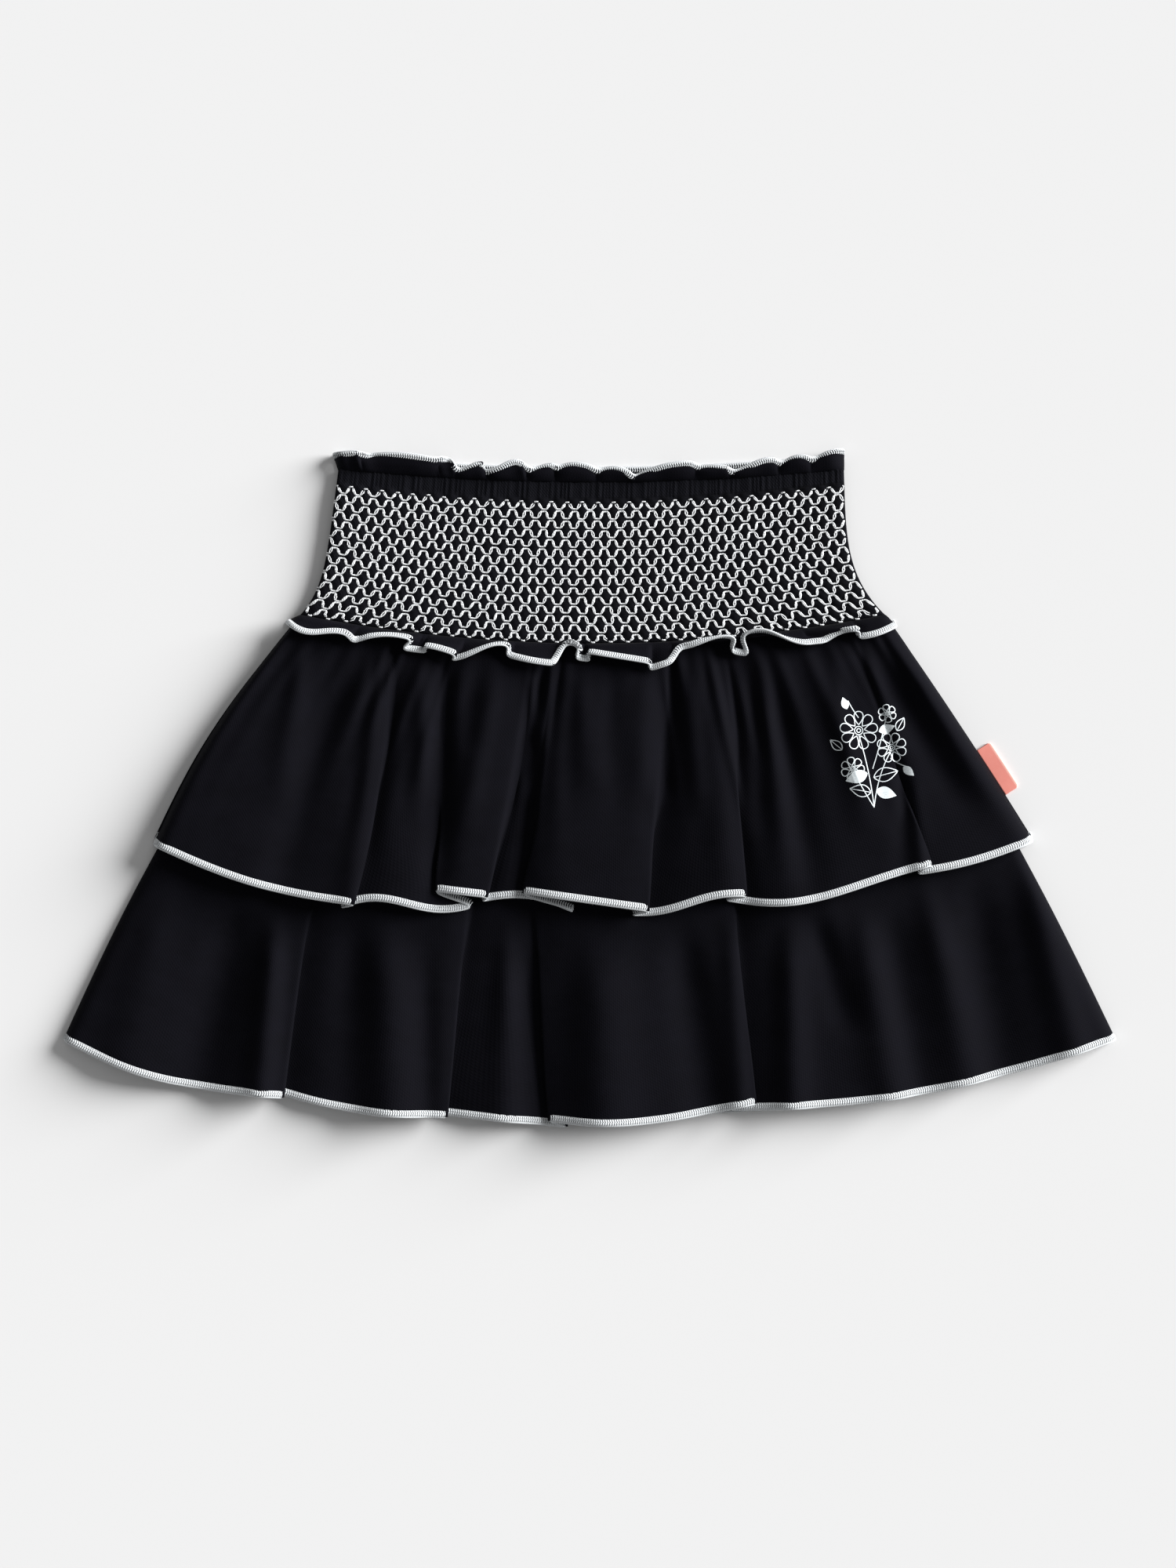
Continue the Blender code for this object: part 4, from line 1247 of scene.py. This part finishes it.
def printed_on(name, strips, cloth):
    """The strips of ink laid on a piece of cloth: dropped straight down onto it."""
    above = place(PRINT_X + strips[..., 0], PRINT_DOWN - strips[..., 1], PRINT_START_UP)
    index = np.arange(above[..., 0].size).reshape(above.shape[:3])
    mesh = bpy.data.meshes.new(name)
    mesh.from_pydata(above.reshape(-1, 3), [], quads_between(index[:, :-1], index[:, 1:]).tolist())
    mesh.flip_normals()
    loose = bpy.data.objects.new(name, mesh)
    bpy.context.scene.collection.objects.link(loose)
    drop = loose.modifiers.new("Drop", "SHRINKWRAP")
    drop.wrap_method = "PROJECT"
    drop.target = cloth
    drop.use_project_z = True
    drop.use_negative_direction = True
    drop.use_positive_direction = False
    drop.offset = PRINT_PROUD * MM
    seen = loose.evaluated_get(bpy.context.evaluated_depsgraph_get())
    laid = bpy.data.meshes.new_from_object(seen)
    laid.name = name
    laid.shade_smooth()
    bpy.data.objects.remove(loose)
    add_piece(name, laid, ink_material())


printed_on("sprig_print", print_strips(), short_front)

# Side label
# A coral ribbon tab is folded in two and caught in the short tier's right side seam. It is
# woven with fine cross ribs, is paler along its folded edge, and carries nothing.
LABEL_LENGTH = 25.0
LABEL_REACH = 7.0
LABEL_CORNER = 1.6
LABEL_ALONG_SEAM = 0.7
LABEL_CLEAR = 0.5
LABEL_TURN = -57.0
RIBBON_THICK = 0.3
RIBBON_STEPS = 61
LAYER_STEPS = 12
FOLD_STEPS = 9
# Shares of the label's reach: its layers' start, inside the seam, their end, and the fold.
LAYER_FROM = -0.06
LAYER_TO = 0.93
FOLD_MIDDLE = 0.96
FOLD_DEPTH = 0.04
RIBBON_HALF_GAP = 0.28
RIBBON_UP = 0.5
RIBBON_ARCH = 0.25
RIB_PITCH = 0.0005
PALE_FROM = 0.84
PALE_TO = 0.9
PALE_MOTTLE = 0.25
RIBBON_MOTTLE_SCALE = 400.0
CORAL = (0.83, 0.27, 0.22, 1)
CORAL_PALE = (0.90, 0.45, 0.38, 1)


def ribbon_points():
    """Grid of the folded ribbon: out along the lower layer, round the fold, back on top.

    Its corners are rounded by drawing the fold in by a quarter circle near each end. The top
    layer arches a little by half a sine along the ribbon.
    """
    along = np.linspace(0, 1, RIBBON_STEPS)[None, :] * LABEL_LENGTH
    near_end = np.clip(1 - np.minimum(along, LABEL_LENGTH - along) / LABEL_CORNER, 0, 1)
    reach = LABEL_REACH - LABEL_CORNER * (1 - np.sqrt(1 - near_end ** 2))
    bend = np.linspace(-math.pi / 2, math.pi / 2, FOLD_STEPS)
    flat = np.linspace(LAYER_FROM, LAYER_TO, LAYER_STEPS)
    fold = FOLD_MIDDLE + FOLD_DEPTH * np.cos(bend)
    share = np.concatenate([flat, fold, flat[::-1]])[:, None]
    layer = np.ones(LAYER_STEPS)
    rise = np.concatenate([-layer, np.sin(bend), layer])[:, None] * RIBBON_HALF_GAP
    arch = RIBBON_ARCH * np.sin(math.pi * along / LABEL_LENGTH) * np.clip(share, 0, 1)
    out = share * reach
    return along * np.ones_like(out), out, RIBBON_UP + rise + np.where(rise > 0, arch, 0.0)


def ribbon_material():
    """Woven ribbon: fine ribs across its length and a paler band along the folded edge."""
    material, tree = new_material("Coral ribbon")
    where = uv_place(tree)
    ribs = wave(tree, where, "X", RIB_PITCH, distortion=0.3)
    out = shader_node(tree, "ShaderNodeSeparateXYZ", {"Vector": where}).outputs["Y"]
    pale_band = (LABEL_REACH * share * MM for share in (PALE_FROM, PALE_TO))
    folded_edge = mapped(tree, out, *pale_band)
    mottle = noise(tree, where, RIBBON_MOTTLE_SCALE, detail=2.0)
    pale = reckoned(tree, "MULTIPLY_ADD", mottle, PALE_MOTTLE, folded_edge, use_clamp=True)
    colour = mixed(tree, pale, CORAL, CORAL_PALE)
    relief = raised(tree, ribs, strength=0.4, distance=FINE_BUMP_HEIGHT)
    coat(tree, colour, roughness=0.5, specular=0.35, Normal=relief)
    return material


label_along, label_out, label_rise = ribbon_points()
label_turn = math.radians(LABEL_TURN)
label_x = side_x(SHORT_TIER.right, LABEL_ALONG_SEAM)
label_down = blend(WAIST_SEAM.side, SHORT_TIER.corners[1], LABEL_ALONG_SEAM)
out_way = label_out + SEAM_GAP + LABEL_CLEAR
along_way = label_along - LABEL_LENGTH / 2
label_points = place(
    label_x + along_way * math.cos(label_turn) - out_way * math.sin(label_turn),
    label_down - along_way * math.sin(label_turn) - out_way * math.cos(label_turn),
    label_rise,
)
label_uv = np.stack(np.broadcast_arrays(label_along * MM, label_out * MM), -1)
label_mesh = grid_mesh("side_tab", label_points, label_uv)
label = add_piece("side_tab", label_mesh, ribbon_material())
thicken(label, RIBBON_THICK)
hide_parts("side_label")

# Surface, light and camera
# The skirt lies on a plain pale surface, under one broad soft light from the upper right and
# an even fill, and the camera looks straight down on it from two metres.
FLOOR_GREY = (0.80, 0.80, 0.80, 1)
FLOOR_GRAIN = (0.795, 0.795, 0.797, 1)
FLOOR_GRAIN_SCALE = 900.0
FLOOR_HALF = 3.0
FILL = 0.272
SUN = 7.6
SUN_SPREAD = 35.0
SUN_FROM = (0.865, 0.35, 0.345)
CAMERA_UP = 2.0
PHOTO_TALL = 0.74
SENSOR = 36.0
PHOTO_MIDDLE_DOWN = 159.1


def floor_material():
    """Matt pale paper with the faintest grain."""
    material, tree = new_material("Pale surface")
    where = tree.nodes.new("ShaderNodeTexCoord").outputs["Object"]
    grain = noise(tree, where, FLOOR_GRAIN_SCALE, detail=2.0)
    coat(tree, mixed(tree, grain, FLOOR_GREY, FLOOR_GRAIN), roughness=1.0, specular=0.0)
    return material


floor_across = np.array([-FLOOR_HALF, FLOOR_HALF])
floor_grid = np.stack(np.broadcast_arrays(floor_across[None, :], -floor_across[:, None], 0.0), -1)
floor_mesh = grid_mesh("surface_below", floor_grid, floor_grid[..., :2].copy())
floor_mesh.materials.append(floor_material())
floor = bpy.data.objects.new("surface_below", floor_mesh)
bpy.context.scene.collection.objects.link(floor)

world = bpy.data.worlds.new("Even fill")
world.use_nodes = True
world.node_tree.nodes["Background"].inputs["Color"].default_value = (1, 1, 1, 1)
world.node_tree.nodes["Background"].inputs["Strength"].default_value = FILL
bpy.context.scene.world = world

sun = bpy.data.lights.new("Broad soft light", "SUN")
sun.energy = SUN
sun.angle = math.radians(SUN_SPREAD)
sun_object = bpy.data.objects.new("Broad soft light", sun)
sun_way = unit(np.array(SUN_FROM))
sun_object.rotation_euler = (
    math.acos(sun_way[2]),
    0.0,
    math.atan2(sun_way[1], sun_way[0]) + math.pi / 2,
)
bpy.context.scene.collection.objects.link(sun_object)

lens = bpy.data.cameras.new("Camera")
lens.sensor_width = SENSOR
lens.lens = SENSOR * CAMERA_UP / PHOTO_TALL
camera = bpy.data.objects.new("Camera", lens)
camera.location = (-MIDDLE_ACROSS * MM, (MIDDLE_DOWN - PHOTO_MIDDLE_DOWN) * MM, CAMERA_UP)
bpy.context.scene.collection.objects.link(camera)
bpy.context.scene.camera = camera
bpy.context.scene.view_settings.view_transform = "Standard"
